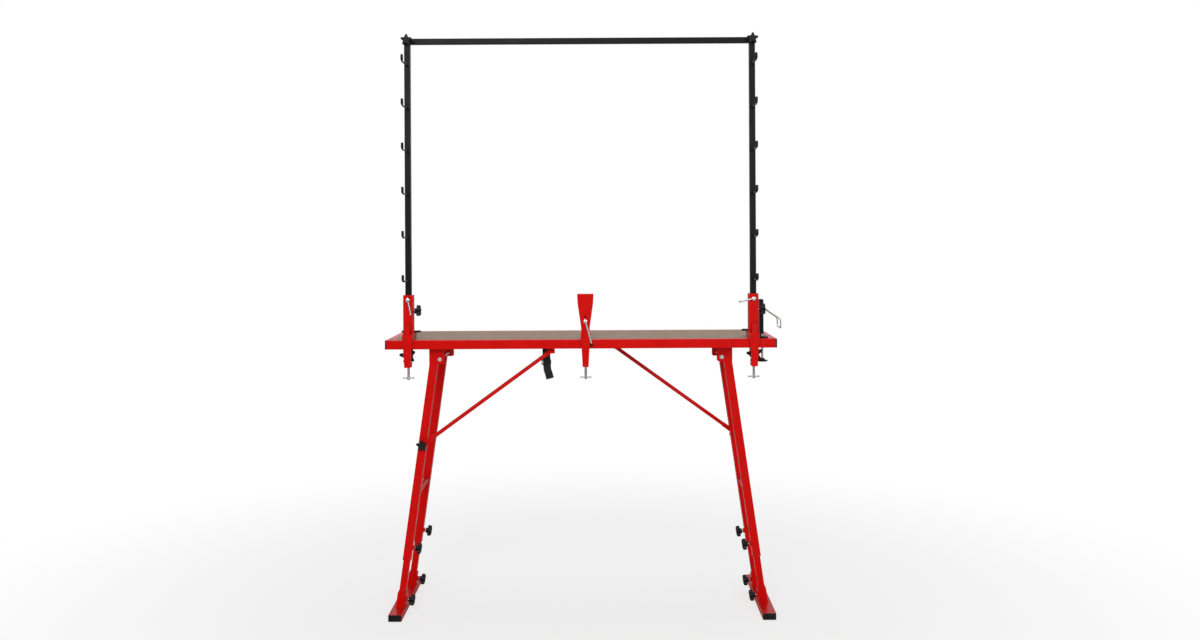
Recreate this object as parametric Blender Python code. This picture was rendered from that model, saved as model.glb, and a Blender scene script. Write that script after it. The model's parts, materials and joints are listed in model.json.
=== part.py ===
"""A folding waxing table for skis, with two end supports, a vise, a drying rack and an iron holder.

Metres, +Z up, +X along the table, +Y away from the person who stands in front of it.
The origin is on the floor under the middle of the table.
"""
import math

import bmesh
import bpy
from mathutils import Matrix, Vector

# Clearances
FIT_GAP = 0.0003
SLIDE_GAP = 0.0005
WELD = 0.001
SMALLEST_EDGE = 0.000005
CUT_BEYOND = 0.010

# Table top
TABLE_LENGTH = 1.200
TABLE_DEPTH = 0.350
TABLE_HEIGHT = 0.850
RAIL_HEIGHT = 0.028
RAIL_DEPTH = 0.025
RAIL_WALL = 0.0018
END_CAP = 0.004
END_CAP_PLUG = 0.015
BOARD_THICKNESS = 0.026
BOARD_PROUD = 0.0005

# Leg frames
SPLAY = math.radians(8.1)
PIVOT_INSET = 0.162
PIVOT_DROP = 0.038
LEG_TUBE = 0.025
INNER_TUBE = 0.020
INNER_WALL = 0.0015
LEG_ABOVE_PIVOT = 0.020
LEG_BELOW_PIVOT = 0.628
LEFT_FRAME_INSET = 0.050
RIGHT_FRAME_INSET = 0.080
CROSSBAR_DOWN = 0.425
CROSSBAR_SIZE = 0.020
INNER_OVERLAP = 0.250
SLEEVE_RADIUS = 0.0065
BOLT_RADIUS = 0.004
BOLT_HEAD_RADIUS = 0.0065
BOLT_HEAD_HEIGHT = 0.004
NUT_BOSS_RADIUS = 0.0075
NUT_BOSS_HEIGHT = 0.005
UPPER_KNOB_ABOVE_END = 0.035

# Hinge brackets under the board
BRACKET_PLATE = 0.0025
BRACKET_LENGTH = 0.046
BRACKET_INNER_SHARE = 0.013
BRACKET_BELOW_PIVOT = 0.013

# Feet
FOOT_LENGTH = 0.420
FOOT_WIDTH = 0.040
FOOT_HEIGHT = 0.020
FOOT_WALL = 0.002
FOOT_CAP = 0.003
FOOT_CAP_PLUG = 0.018
SOCKET_WALL = 0.003
SOCKET_HEIGHT = 0.044

# Diagonal braces
BRACE_RADIUS = 0.006
BRACE_PLATE = 0.003
BRACE_EYE_RADIUS = 0.009
BRACE_PIVOT_X = 0.093
BRACE_PIVOT_DROP = 0.0125
BRACE_HOOK_DROP = 0.303
BRACE_HOOK_RADIUS = 0.011
BRACE_FLAT_END = 0.030
BRACE_TURN_SHARE = 1 / 3
HOOK_EXIT_TURN = math.radians(2)
HOOK_FLARE = 0.001
EYE_STEPS = 18
SLOT_STEPS = 8
PIN_RADIUS = 0.003
PIN_HEAD_RADIUS = 0.006
PIN_HEAD_HEIGHT = 0.002
ANCHOR_WIDTH = 0.022

# Star knobs
KNOB_LOBES = 5
KNOB_RADIUS = 0.018
KNOB_VALLEY = 0.011
KNOB_HUB_RADIUS = 0.0085
KNOB_STANDOFF = 0.006
KNOB_HUB_HEIGHT = 0.006
KNOB_HEAD_HEIGHT = 0.013
STUD_RADIUS = 0.003
STUD_GAP = 0.0004
STUD_SEAT = 0.0015

# Edge clamps
CLAMP_WIDTH = 0.030
CLAMP_TIP_WIDTH = 0.018
CLAMP_ARM = 0.018
CLAMP_REACH = 0.085
CLAMP_JAW = 0.012
CLAMP_DROP = 0.055
CLAMP_LOWER_ARM = 0.014
CLAMP_LOWER_REACH = 0.030
SCREW_RADIUS = 0.004
SCREW_INSET = 0.015
SCREW_BELOW_ARM = 0.040
SCREW_PAD_RADIUS = 0.008
SCREW_PAD_HEIGHT = 0.004
SCREW_BAR_RADIUS = 0.002
SCREW_BAR_LENGTH = 0.035
SCREW_BAR_ABOVE_END = 0.006

# End supports
SUPPORT_INSET = 0.070
POST_SIZE = 0.030
POST_TOP = 0.137
POST_INSET = 0.025
RIB_BACK_HEIGHT = 0.036
RIB_FRONT_HEIGHT = 0.015
RIB_WIDTH = 0.0144
POST_LEVER_ABOVE_TABLE = 0.122
POST_KNOB_ABOVE_TABLE = 0.088
LEVER_ROD_RADIUS = 0.0028
LEVER_ROD_LENGTH = 0.048
LEVER_HEAD_RADIUS = 0.0065
LEVER_HEAD_LENGTH = 0.010
LEFT_LEVER_ANGLE = math.radians(-79)
RIGHT_LEVER_ANGLE = math.radians(192)

# Vise
VISE_X = 0.014
VISE_HEAD_WIDTH = 0.050
VISE_NECK_WIDTH = 0.026
VISE_TOP = 0.139
VISE_NECK = 0.036
JAW_PLATE = 0.006
JAW_GAP = 0.014
JAW_CORNER = 0.002
JAW_SHOULDER_DROP = 0.030
JAW_SHOULDER_SHARE = 0.94
SIGHT_HOLE_ABOVE_BOLT = 0.014
VISE_BOLT_ABOVE_TABLE = 0.056
VISE_LEVER_LENGTH = 0.078
VISE_LEVER_TIP_RADIUS = 0.005
VISE_LEVER_TIP_LENGTH = 0.009
VISE_LEVER_ANGLE = math.radians(-75)

# Rack
RACK_TUBE = 0.018
RACK_WALL = 0.0015
RACK_HEIGHT = 1.778
RACK_FOOT_GAP = 0.004
ARM_LEVELS = 6
LOWEST_ARM_ABOVE_TABLE = 0.182
ARM_TOP_DROP = 0.086
ARM_REACH = 0.100
ARM_RADIUS = 0.0025
ARM_BEND = 0.010
ARM_BEND_SHARE = 0.3
ARM_TIP_RISE = 0.020

# Iron holder
HOLDER_INSET = 0.038
HOLDER_BEHIND_FRONT = 0.060
HOLDER_WIDTH = 0.026
HOLDER_BASE_DEPTH = 0.080
HOLDER_PLATE = 0.004
HOLDER_HEIGHT = 0.112
HOLDER_POST_DEPTH = 0.030
HOLDER_POST_THICKNESS = 0.012
CRADLE_WIRE = 0.002
CRADLE_SPAN = 0.070
CRADLE_REACH = 0.048
CRADLE_TOP = 0.088
CRADLE_LIP = 0.055
CRADLE_FLOOR = 0.028
HOLDER_STUD_DROP = 0.040
DISC_KNOB_RADIUS = 0.0165
DISC_KNOB_HEIGHT = 0.010
DISC_HUB_RADIUS = 0.008
HOLDER_BOLT_HEAD_HEIGHT = 0.004
HOLDER_BOLT_HEAD_RADIUS = 0.0054

# Strap
STRAP_X = -0.110
STRAP_BEHIND_ANCHOR = 0.013
STRAP_WIDTH = 0.024
STRAP_THICKNESS = 0.002
STRAP_TAB = 0.030
STRAP_DROP = 0.070
STRAP_TAIL = 0.034
STRAP_SLANT = math.radians(15)
STRAP_FOLD = 0.002
STRAP_TWIST_SHIFT = 0.003
BUCKLE_WIDTH = 0.030
BUCKLE_HEIGHT = 0.018
BUCKLE_DEPTH = 0.008

# Derived places
RAIL_TOP = TABLE_HEIGHT - BOARD_PROUD
RAIL_BOTTOM = RAIL_TOP - RAIL_HEIGHT
BOARD_BOTTOM = TABLE_HEIGHT - BOARD_THICKNESS
TABLE_FRONT = -TABLE_DEPTH / 2
PIVOT_X = TABLE_LENGTH / 2 - PIVOT_INSET
SUPPORT_X = TABLE_LENGTH / 2 - SUPPORT_INSET
HOLDER_X = TABLE_LENGTH / 2 - HOLDER_INSET
HOLDER_Y = TABLE_FRONT + HOLDER_BEHIND_FRONT
PIVOT_Z = BOARD_BOTTOM - PIVOT_DROP
LEG_OFFSET = LEG_TUBE / 2 + SLEEVE_RADIUS - WELD
FRAME_DEPTHS = {-1: TABLE_DEPTH - 2 * LEFT_FRAME_INSET, 1: TABLE_DEPTH - 2 * RIGHT_FRAME_INSET}
STRAP_Y = -FRAME_DEPTHS[-1] / 2 + ANCHOR_WIDTH + STRAP_BEHIND_ANCHOR
SIDE_NAMES = {-1: "left", 1: "right"}
LEG_BORE = INNER_TUBE + 2 * SLIDE_GAP
SOCKET_SIZE = LEG_BORE + 2 * SOCKET_WALL
BRACE_PIVOT_Z = BOARD_BOTTOM - BRACE_PIVOT_DROP
POST_Y = TABLE_FRONT + POST_INSET
POST_BORE = RACK_TUBE + 2 * SLIDE_GAP
SCREW_Y = TABLE_FRONT + SCREW_INSET
ARM_SPAN = RACK_HEIGHT - ARM_TOP_DROP - TABLE_HEIGHT - LOWEST_ARM_ABOVE_TABLE
ARM_PITCH = ARM_SPAN / (ARM_LEVELS - 1)

RED = ("red_powder_coat", (0.72, 0.015, 0.008), 0.35, 0.0)
BLACK_STEEL = ("black_powder_coat", (0.02, 0.02, 0.022), 0.45, 0.0)
BLACK_PLASTIC = ("black_plastic", (0.015, 0.015, 0.017), 0.55, 0.0)
ZINC = ("zinc_steel", (0.62, 0.62, 0.60), 0.3, 1.0)
LAMINATE = ("taupe_laminate", (0.42, 0.35, 0.29), 0.5, 0.0)
WEBBING = ("black_webbing", (0.015, 0.015, 0.016), 0.9, 0.0)


def material(finish):
    """Return the material of a finish, made once."""
    name, colour, roughness, metallic = finish
    found = bpy.data.materials.get(name)
    if found:
        return found
    made = bpy.data.materials.new(name)
    made.use_nodes = True
    shader = made.node_tree.nodes["Principled BSDF"]
    shader.inputs["Base Color"].default_value = (*colour, 1.0)
    shader.inputs["Roughness"].default_value = roughness
    shader.inputs["Metallic"].default_value = metallic
    return made


def clear_scene():
    """Remove every object that the scene starts with."""
    for item in list(bpy.data.objects):
        bpy.data.objects.remove(item, do_unlink=True)


def empty(name, location, rotation=(0, 0, 0), parent=None):
    """Add an empty that carries a moving group on its joint's axis."""
    holder = bpy.data.objects.new(name, None)
    holder.empty_display_size = 0.03
    holder.location = location
    holder.rotation_euler = rotation
    holder.parent = parent
    bpy.context.collection.objects.link(holder)
    return holder


def place(name, shape, finish, location=(0, 0, 0), rotation=(0, 0, 0), parent=None):
    """Turn a bmesh into a named object with its own material slot."""
    bmesh.ops.recalc_face_normals(shape, faces=shape.faces)
    mesh = bpy.data.meshes.new(name)
    shape.to_mesh(mesh)
    shape.free()
    mesh.materials.append(material(finish))
    mesh.shade_smooth()
    mesh.set_sharp_from_angle(angle=math.radians(35))
    item = bpy.data.objects.new(name, mesh)
    item.location = location
    item.rotation_euler = rotation
    item.parent = parent
    bpy.context.collection.objects.link(item)
    return item


def loft(rings, closed=False):
    """Join rings of equal point counts with quads, and cap both ends unless closed."""
    shape = bmesh.new()
    rows = [[shape.verts.new(point) for point in ring] for ring in rings]
    count = len(rows[0])
    pairs = list(zip(rows, rows[1:]))
    if closed:
        pairs.append((rows[-1], rows[0]))
    for low, high in pairs:
        for index in range(count):
            after = (index + 1) % count
            shape.faces.new((low[index], low[after], high[after], high[index]))
    if not closed:
        shape.faces.new(rows[0])
        shape.faces.new(rows[-1])
    bmesh.ops.recalc_face_normals(shape, faces=shape.faces)
    return shape


def box(low, high):
    """A box between two corners."""
    (x0, y0, z0), (x1, y1, z1) = low, high
    corners = ((x0, y0), (x1, y0), (x1, y1), (x0, y1))
    return loft([[(x, y, z) for x, y in corners] for z in (z0, z1)])


def centred_box(centre, size):
    """A box about a centre."""
    low = [c - s / 2 for c, s in zip(centre, size)]
    high = [c + s / 2 for c, s in zip(centre, size)]
    return box(low, high)


def circle(radius, count, phase=0.0):
    """Points of a circle in the plane."""
    turn = 2 * math.pi / count
    return [(radius * math.cos(turn * i + phase), radius * math.sin(turn * i + phase)) for i in range(count)]


def along(axis, points, at):
    """Set plane points across an axis at a height along it."""
    if axis == "x":
        return [(at, u, v) for u, v in points]
    if axis == "y":
        return [(u, at, v) for u, v in points]
    return [(u, v, at) for u, v in points]


def rod(axis, centre, radius, start, end, count=16):
    """A round bar along an axis, its centre given by the two other coordinates."""
    ring = [(u + centre[0], v + centre[1]) for u, v in circle(radius, count)]
    return loft([along(axis, ring, at) for at in (start, end)])


def slab(axis, outline, start, end):
    """An outline in the plane across an axis, pushed from start to end along it."""
    return loft([along(axis, outline, at) for at in (start, end)])


def tube(axis, centre, outer, inner, start, end):
    """A tube along an axis, from an outer and an inner outline about a centre."""
    rings = []
    for outline, at in ((outer, start), (outer, end), (inner, end), (inner, start)):
        shifted = [(u + centre[0], v + centre[1]) for u, v in outline]
        rings.append(along(axis, shifted, at))
    return loft(rings, closed=True)


def rectangle(width, height):
    """Corner points of a rectangle about the origin."""
    a, b = width / 2, height / 2
    return [(-a, -b), (a, -b), (a, b), (-a, b)]


def turned(axis, centre, profile, count=16):
    """A solid of revolution: profile is a list of (radius, place along the axis)."""
    rings = []
    for radius, at in profile:
        ring = [(u + centre[0], v + centre[1]) for u, v in circle(radius, count)]
        rings.append(along(axis, ring, at))
    return loft(rings)


def sweep(points, radius, count=8):
    """A round wire through points, with mitred corners and flat ends."""
    path = [Vector(p) for p in points]
    rings = []
    side = None
    for index, point in enumerate(path):
        before = (point - path[index - 1]).normalized() if index else None
        after = (path[index + 1] - point).normalized() if index + 1 < len(path) else None
        tangent = ((before or after) + (after or before)).normalized()
        stretch = 1 / max(0.5, tangent.dot(after or before))
        if side is None:
            start = Vector((0, 0, 1)) if abs(tangent.z) < 0.9 else Vector((1, 0, 0))
            side = tangent.cross(start).normalized()
        side = (side - tangent * side.dot(tangent)).normalized()
        other = tangent.cross(side)
        bend = (after - before) if before and after else Vector((0, 0, 0))
        bend = bend.normalized() if bend.length > 1e-6 else bend
        ring = []
        for u, v in circle(radius, count):
            offset = side * u + other * v
            offset += bend * offset.dot(bend) * (stretch - 1)
            ring.append(point + offset)
        rings.append(ring)
    return loft(rings)


def combine(kind, base, *others):
    """Unite or cut solids with exact Booleans, and return the result as a bmesh."""
    for other in others:
        pair = []
        for source in (base, other):
            mesh = bpy.data.meshes.new("working_shape")
            source.to_mesh(mesh)
            source.free()
            item = bpy.data.objects.new("working_shape", mesh)
            bpy.context.collection.objects.link(item)
            pair.append(item)
        modifier = pair[0].modifiers.new("Boolean", "BOOLEAN")
        modifier.operation = kind
        modifier.object = pair[1]
        bpy.context.view_layer.update()
        graph = bpy.context.evaluated_depsgraph_get()
        base = bmesh.new()
        base.from_object(pair[0], graph)
        bmesh.ops.remove_doubles(base, verts=base.verts, dist=SMALLEST_EDGE)
        for item in pair:
            mesh = item.data
            bpy.data.objects.remove(item, do_unlink=True)
            bpy.data.meshes.remove(mesh)
    return base


def unite(base, *others):
    """Union of solids."""
    return combine("UNION", base, *others)


def cut(base, *others):
    """A solid with others taken out of it."""
    return combine("DIFFERENCE", base, *others)


def moved(shape, matrix):
    """A bmesh moved by a matrix."""
    bmesh.ops.transform(shape, matrix=matrix, verts=shape.verts)
    return shape


def add_table_top():
    """The board between its two hollow rails, and the black caps in the rail ends."""
    half = TABLE_LENGTH / 2 - END_CAP
    board_half_depth = TABLE_DEPTH / 2 - RAIL_DEPTH - FIT_GAP
    board = box((-half, -board_half_depth, BOARD_BOTTOM), (half, board_half_depth, TABLE_HEIGHT))
    hole_ends = (BOARD_BOTTOM - CUT_BEYOND, TABLE_HEIGHT + CUT_BEYOND)
    stud_hole = rod("z", (HOLDER_X, HOLDER_Y), STUD_RADIUS + FIT_GAP, *hole_ends)
    place("top_board", cut(board, stud_hole), LAMINATE)
    rail_z = (RAIL_TOP + RAIL_BOTTOM) / 2
    outer = rectangle(RAIL_DEPTH, RAIL_HEIGHT)
    inner = rectangle(RAIL_DEPTH - 2 * RAIL_WALL, RAIL_HEIGHT - 2 * RAIL_WALL)
    shrink = 2 * (RAIL_WALL + FIT_GAP)
    plug_size = (END_CAP_PLUG, RAIL_DEPTH - shrink, RAIL_HEIGHT - shrink)
    for name, side in (("front_rail", -1), ("rear_rail", 1)):
        rail_y = side * (TABLE_DEPTH - RAIL_DEPTH) / 2
        place(name, tube("x", (rail_y, rail_z), outer, inner, -half, half), RED)
        for end in (-1, 1):
            face = end * (half + FIT_GAP)
            cap_x = face + end * (END_CAP - FIT_GAP) / 2
            cap = centred_box((cap_x, rail_y, rail_z), (END_CAP - FIT_GAP, RAIL_DEPTH, RAIL_HEIGHT))
            plug_x = face - end * (END_CAP_PLUG / 2 - WELD)
            cap = unite(cap, centred_box((plug_x, rail_y, rail_z), plug_size))
            place(f"{name}_{SIDE_NAMES[end]}_cap", cap, BLACK_PLASTIC)


def bracket_shape(side):
    """A cross plate under the board with a cheek each side of both leg tubes, drilled for the axle."""
    clear = LEG_TUBE / 2 + SLIDE_GAP
    inner_x = side * (PIVOT_X - BRACKET_INNER_SHARE)
    outer_x = inner_x + side * BRACKET_LENGTH
    low_x, high_x = min(inner_x, outer_x), max(inner_x, outer_x)
    top = BOARD_BOTTOM - FIT_GAP
    bottom = PIVOT_Z - BRACKET_BELOW_PIVOT
    reach = axle_reach(side)
    plate = box((low_x, -reach, top - BRACKET_PLATE), (high_x, reach, top))
    cheeks = []
    for _, tube_y in tube_places(side):
        for hand in (-1, 1):
            low_y, high_y = sorted((tube_y + hand * clear, tube_y + hand * (clear + BRACKET_PLATE)))
            cheeks.append(box((low_x, low_y, bottom), (high_x, high_y, top - WELD)))
    hole = rod("y", (side * PIVOT_X, PIVOT_Z), BOLT_RADIUS + FIT_GAP, -TABLE_DEPTH, TABLE_DEPTH)
    return cut(unite(plate, *cheeks), hole)


def axle_reach(side):
    """How far a bracket's outer cheeks stand from the middle of the table."""
    return FRAME_DEPTHS[side] / 2 + SLIDE_GAP + BRACKET_PLATE


def axle_shape(side):
    """The axle of a leg frame: a long round bar with a head at both ends."""
    reach = axle_reach(side) + FIT_GAP
    profile = [
        (BOLT_HEAD_RADIUS * 0.8, -reach - BOLT_HEAD_HEIGHT),
        (BOLT_HEAD_RADIUS, -reach - BOLT_HEAD_HEIGHT * 0.7),
        (BOLT_HEAD_RADIUS, -reach),
        (BOLT_RADIUS, -reach),
        (BOLT_RADIUS, reach),
        (BOLT_HEAD_RADIUS, reach),
        (BOLT_HEAD_RADIUS, reach + BOLT_HEAD_HEIGHT),
    ]
    return turned("y", (side * PIVOT_X, PIVOT_Z), profile, 16)


def tube_places(side):
    """The front and rear tube centres of a leg frame across the table."""
    half = (FRAME_DEPTHS[side] - LEG_TUBE) / 2
    return (("front", -half), ("rear", half))


def star_knob(stud_length):
    """A five-lobed knob with its stud, standing along +Z with the stud's foot at zero."""
    per_lobe = 4
    count = KNOB_LOBES * per_lobe
    base = stud_length - KNOB_HUB_HEIGHT * 0.5
    head = base + KNOB_HUB_HEIGHT
    top = head + KNOB_HEAD_HEIGHT

    def star(scale):
        ring = []
        for index in range(count):
            swing = (1 + math.cos(2 * math.pi * index / per_lobe)) / 2
            radius = (KNOB_VALLEY + (KNOB_RADIUS - KNOB_VALLEY) * swing) * scale
            angle = 2 * math.pi * index / count
            ring.append((radius * math.cos(angle), radius * math.sin(angle)))
        return ring

    rings = [
        along("z", circle(STUD_RADIUS, count), 0.0),
        along("z", circle(STUD_RADIUS, count), base),
        along("z", circle(KNOB_HUB_RADIUS, count), base + FIT_GAP),
        along("z", circle(KNOB_HUB_RADIUS, count), head),
        along("z", star(0.88), head + KNOB_HEAD_HEIGHT * 0.1),
        along("z", star(1.0), head + KNOB_HEAD_HEIGHT * 0.3),
        along("z", star(1.0), head + KNOB_HEAD_HEIGHT * 0.7),
        along("z", star(0.75), top),
    ]
    return loft(rings)


def facing(direction):
    """The turn that points +Z along a direction."""
    return Vector(direction).to_track_quat("Z", "Y").to_euler()


def add_hinge(side):
    """The hinge bracket of a leg frame and its axle."""
    place(f"{SIDE_NAMES[side]}_hinge_bracket", bracket_shape(side), RED)
    place(f"{SIDE_NAMES[side]}_leg_axle", axle_shape(side), ZINC)


def brace_plane(side):
    """Where the brace's back face runs: in front of the left frame, behind the right one."""
    return side * (FRAME_DEPTHS[side] / 2 + SLIDE_GAP)


def add_leg(side):
    """One folding leg frame with its sliding foot and star knobs. Returns its pivot empty."""
    name = SIDE_NAMES[side]
    pivot = empty(f"{name}_leg_pivot", (side * PIVOT_X, 0, PIVOT_Z), (0, -side * SPLAY, 0))
    axis_x = side * LEG_OFFSET
    outer = rectangle(LEG_TUBE, LEG_TUBE)
    bore = rectangle(LEG_BORE, LEG_BORE)
    knob_down = LEG_BELOW_PIVOT - UPPER_KNOB_ABOVE_END
    wall_x = axis_x - side * LEG_TUBE / 2
    boss_x = wall_x - side * NUT_BOSS_HEIGHT
    inner_x = axis_x - side * INNER_TUBE / 2
    stud_foot = inner_x - side * STUD_GAP
    hook_down = (PIVOT_Z - (RAIL_BOTTOM - BRACE_HOOK_DROP)) / math.cos(SPLAY)
    brace_tube = "front" if side < 0 else "rear"
    tubes = []
    for place_name, tube_y in tube_places(side):
        leg = tube("z", (axis_x, tube_y), outer, bore, LEG_ABOVE_PIVOT, -LEG_BELOW_PIVOT)
        sleeve = tube(
            "y", (0, 0), circle(SLEEVE_RADIUS, 16), circle(BOLT_RADIUS + FIT_GAP, 16),
            tube_y - LEG_TUBE / 2 + FIT_GAP, tube_y + LEG_TUBE / 2 - FIT_GAP,
        )
        boss = rod("x", (tube_y, -knob_down), NUT_BOSS_RADIUS, wall_x + side * WELD, boss_x, 12)
        leg = unite(leg, sleeve, boss)
        hole = rod("x", (tube_y, -knob_down), STUD_RADIUS + FIT_GAP, inner_x, boss_x - side * CUT_BEYOND, 12)
        leg = cut(leg, hole)
        if place_name == brace_tube:
            face = side * FRAME_DEPTHS[side] / 2
            hole_ends = (face - side * LEG_TUBE / 4, face + side * LEG_TUBE)
            stud_hole = rod("y", (axis_x, -hook_down), STUD_RADIUS + FIT_GAP, *hole_ends, 14)
            leg = cut(leg, stud_hole)
        tubes.append(leg)
        stud = abs(boss_x - stud_foot) + KNOB_STANDOFF
        place(
            f"{name}_{place_name}_height_knob", star_knob(stud), BLACK_PLASTIC,
            (stud_foot, tube_y, -knob_down), facing((-side, 0, 0)), pivot,
        )
    half_gap = FRAME_DEPTHS[side] / 2 - LEG_TUBE + WELD
    bar = rod("y", (axis_x, -CROSSBAR_DOWN), CROSSBAR_SIZE / 2, -half_gap, half_gap, 18)
    place(f"{name}_leg_frame", unite(bar, *tubes), RED, parent=pivot)
    outward = side * (BRACE_PLATE + STUD_GAP)
    stud_start = side * (FRAME_DEPTHS[side] / 2 - STUD_SEAT)
    stud = abs(brace_plane(side) + outward - stud_start) + KNOB_HUB_HEIGHT * 0.5 + FIT_GAP
    place(
        f"{name}_brace_knob", star_knob(stud), BLACK_PLASTIC,
        (axis_x, stud_start, -hook_down), facing((0, side, 0)), pivot,
    )
    return pivot


def foot_centre_x(side):
    """Where a leg frame's centre line meets the floor."""
    start_x = PIVOT_X + LEG_OFFSET * math.cos(SPLAY)
    start_z = PIVOT_Z + LEG_OFFSET * math.sin(SPLAY)
    return side * (start_x + start_z * math.tan(SPLAY))


def leaning_tube(side, y, outer, inner, low_z, length):
    """A square tube that leans with the leg, its lower end cut level."""
    lean = Vector((math.sin(SPLAY) * side, 0, -math.cos(SPLAY)))
    across = Vector((math.cos(SPLAY), 0, math.sin(SPLAY) * side))
    base = Vector((foot_centre_x(side), y, 0))
    rings = []
    for size, top in ((outer, False), (outer, True), (inner, True), (inner, False)):
        ring = []
        for u, v in rectangle(size, size):
            point = base + across * u + Vector((0, v, 0))
            if top:
                point = point - lean * (low_z / math.cos(SPLAY) + length)
            else:
                point = point + lean * ((point.z - low_z) / math.cos(SPLAY))
            ring.append(point)
        rings.append(ring)
    return loft(rings, closed=True)


def add_foot(side):
    """The foot bar with its sockets, the two inner tubes and the socket knobs, which slide as one."""
    name = SIDE_NAMES[side]
    foot_x = foot_centre_x(side)
    base = empty(f"{name}_foot_slide", (foot_x, 0, 0))
    to_base = Matrix.Translation((-foot_x, 0, 0))
    half = FOOT_LENGTH / 2 - FOOT_CAP
    bore = rectangle(FOOT_WIDTH - 2 * FOOT_WALL, FOOT_HEIGHT - 2 * FOOT_WALL)
    bar = tube("y", (foot_x, FOOT_HEIGHT / 2), rectangle(FOOT_WIDTH, FOOT_HEIGHT), bore, -half, half)
    knob_z = FOOT_HEIGHT + SOCKET_HEIGHT / 2
    lean = math.tan(SPLAY)
    centre_x = foot_x - side * knob_z * lean
    inward = Vector((-side * math.cos(SPLAY), 0, -math.sin(SPLAY)))
    turn = facing(inward).to_matrix().to_4x4()
    sockets = []
    drop = FOOT_HEIGHT + FIT_GAP
    axis_top = (PIVOT_Z + LEG_OFFSET * math.sin(SPLAY)) / math.cos(SPLAY)
    inner_length = axis_top - (LEG_BELOW_PIVOT - INNER_OVERLAP) - drop / math.cos(SPLAY)
    for place_name, y in tube_places(side):
        socket = leaning_tube(side, y, SOCKET_SIZE, LEG_BORE, FOOT_HEIGHT - WELD, SOCKET_HEIGHT)
        centre = Vector((centre_x, y, knob_z))
        wall = SOCKET_SIZE / 2
        boss = rod("z", (0, 0), NUT_BOSS_RADIUS, wall - WELD, wall + NUT_BOSS_HEIGHT, 12)
        hole = rod("z", (0, 0), STUD_RADIUS + FIT_GAP, INNER_TUBE / 2, wall + 2 * CUT_BEYOND, 12)
        setting = Matrix.Translation(centre) @ turn
        socket = cut(unite(socket, moved(boss, setting)), moved(hole, setting))
        sockets.append(socket)
        inner = leaning_tube(side, y, INNER_TUBE, INNER_TUBE - 2 * INNER_WALL, drop, inner_length)
        place(f"{name}_{place_name}_inner_tube", moved(inner, to_base), RED, parent=base)
        stud = wall + NUT_BOSS_HEIGHT - INNER_TUBE / 2 - STUD_GAP + KNOB_STANDOFF
        foot_of_stud = centre + inward * (INNER_TUBE / 2 + STUD_GAP)
        place(
            f"{name}_{place_name}_socket_knob", star_knob(stud), BLACK_PLASTIC,
            foot_of_stud - Vector((foot_x, 0, 0)), facing(inward), base,
        )
    place(f"{name}_foot_bar", moved(unite(bar, *sockets), to_base), RED, parent=base)
    plug = (FOOT_WIDTH - 2 * (FOOT_WALL + FIT_GAP), FOOT_CAP_PLUG, FOOT_HEIGHT - 2 * (FOOT_WALL + FIT_GAP))
    for end, place_name in ((-1, "front"), (1, "rear")):
        face = end * (half + FIT_GAP)
        cap = centred_box(
            (foot_x, face + end * (FOOT_CAP - FIT_GAP) / 2, FOOT_HEIGHT / 2),
            (FOOT_WIDTH, FOOT_CAP - FIT_GAP, FOOT_HEIGHT),
        )
        plug_y = face - end * (FOOT_CAP_PLUG / 2 - WELD)
        cap = unite(cap, centred_box((foot_x, plug_y, FOOT_HEIGHT / 2), plug))
        place(f"{name}_{place_name}_foot_cap", moved(cap, to_base), BLACK_PLASTIC, parent=base)


def brace_hook_point(side):
    """Where the brace hooks over its stud on the leg."""
    hook_z = RAIL_BOTTOM - BRACE_HOOK_DROP
    down = (PIVOT_Z - hook_z) / math.cos(SPLAY)
    x = side * (PIVOT_X + LEG_OFFSET * math.cos(SPLAY) + down * math.sin(SPLAY))
    z = PIVOT_Z + LEG_OFFSET * math.sin(SPLAY) - down * math.cos(SPLAY)
    return x, z


def eye_outline(centre, radius, neck_half, neck_end):
    """An eye with a straight neck, seen along Y: the arc round the centre, then the neck's end."""
    hand = 1 if neck_end > centre else -1
    open_angle = math.asin(neck_half / radius)
    points = []
    for index in range(EYE_STEPS + 1):
        angle = open_angle + (2 * math.pi - 2 * open_angle) * index / EYE_STEPS
        points.append((centre + hand * radius * math.cos(angle), radius * math.sin(angle)))
    return points + [(neck_end, -neck_half), (neck_end, neck_half)]


def stud_exit(eye, hook):
    """The way the stud leaves the hook, in the brace's own frame, when the leg starts to fold."""
    from_pivot = hook - Vector((math.copysign(PIVOT_X, hook.x), 0, PIVOT_Z))
    hand = 1 if hook.x > 0 else -1
    leg_turn = Matrix.Rotation(hand * HOOK_EXIT_TURN, 3, "Y")
    stud = hook - from_pivot + leg_turn @ from_pivot
    brace_turn = Matrix.Rotation(hand * HOOK_EXIT_TURN * BRACE_TURN_SHARE, 3, "Y")
    run = hook - eye
    return (brace_turn @ (stud - eye) - run).normalized()


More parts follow.
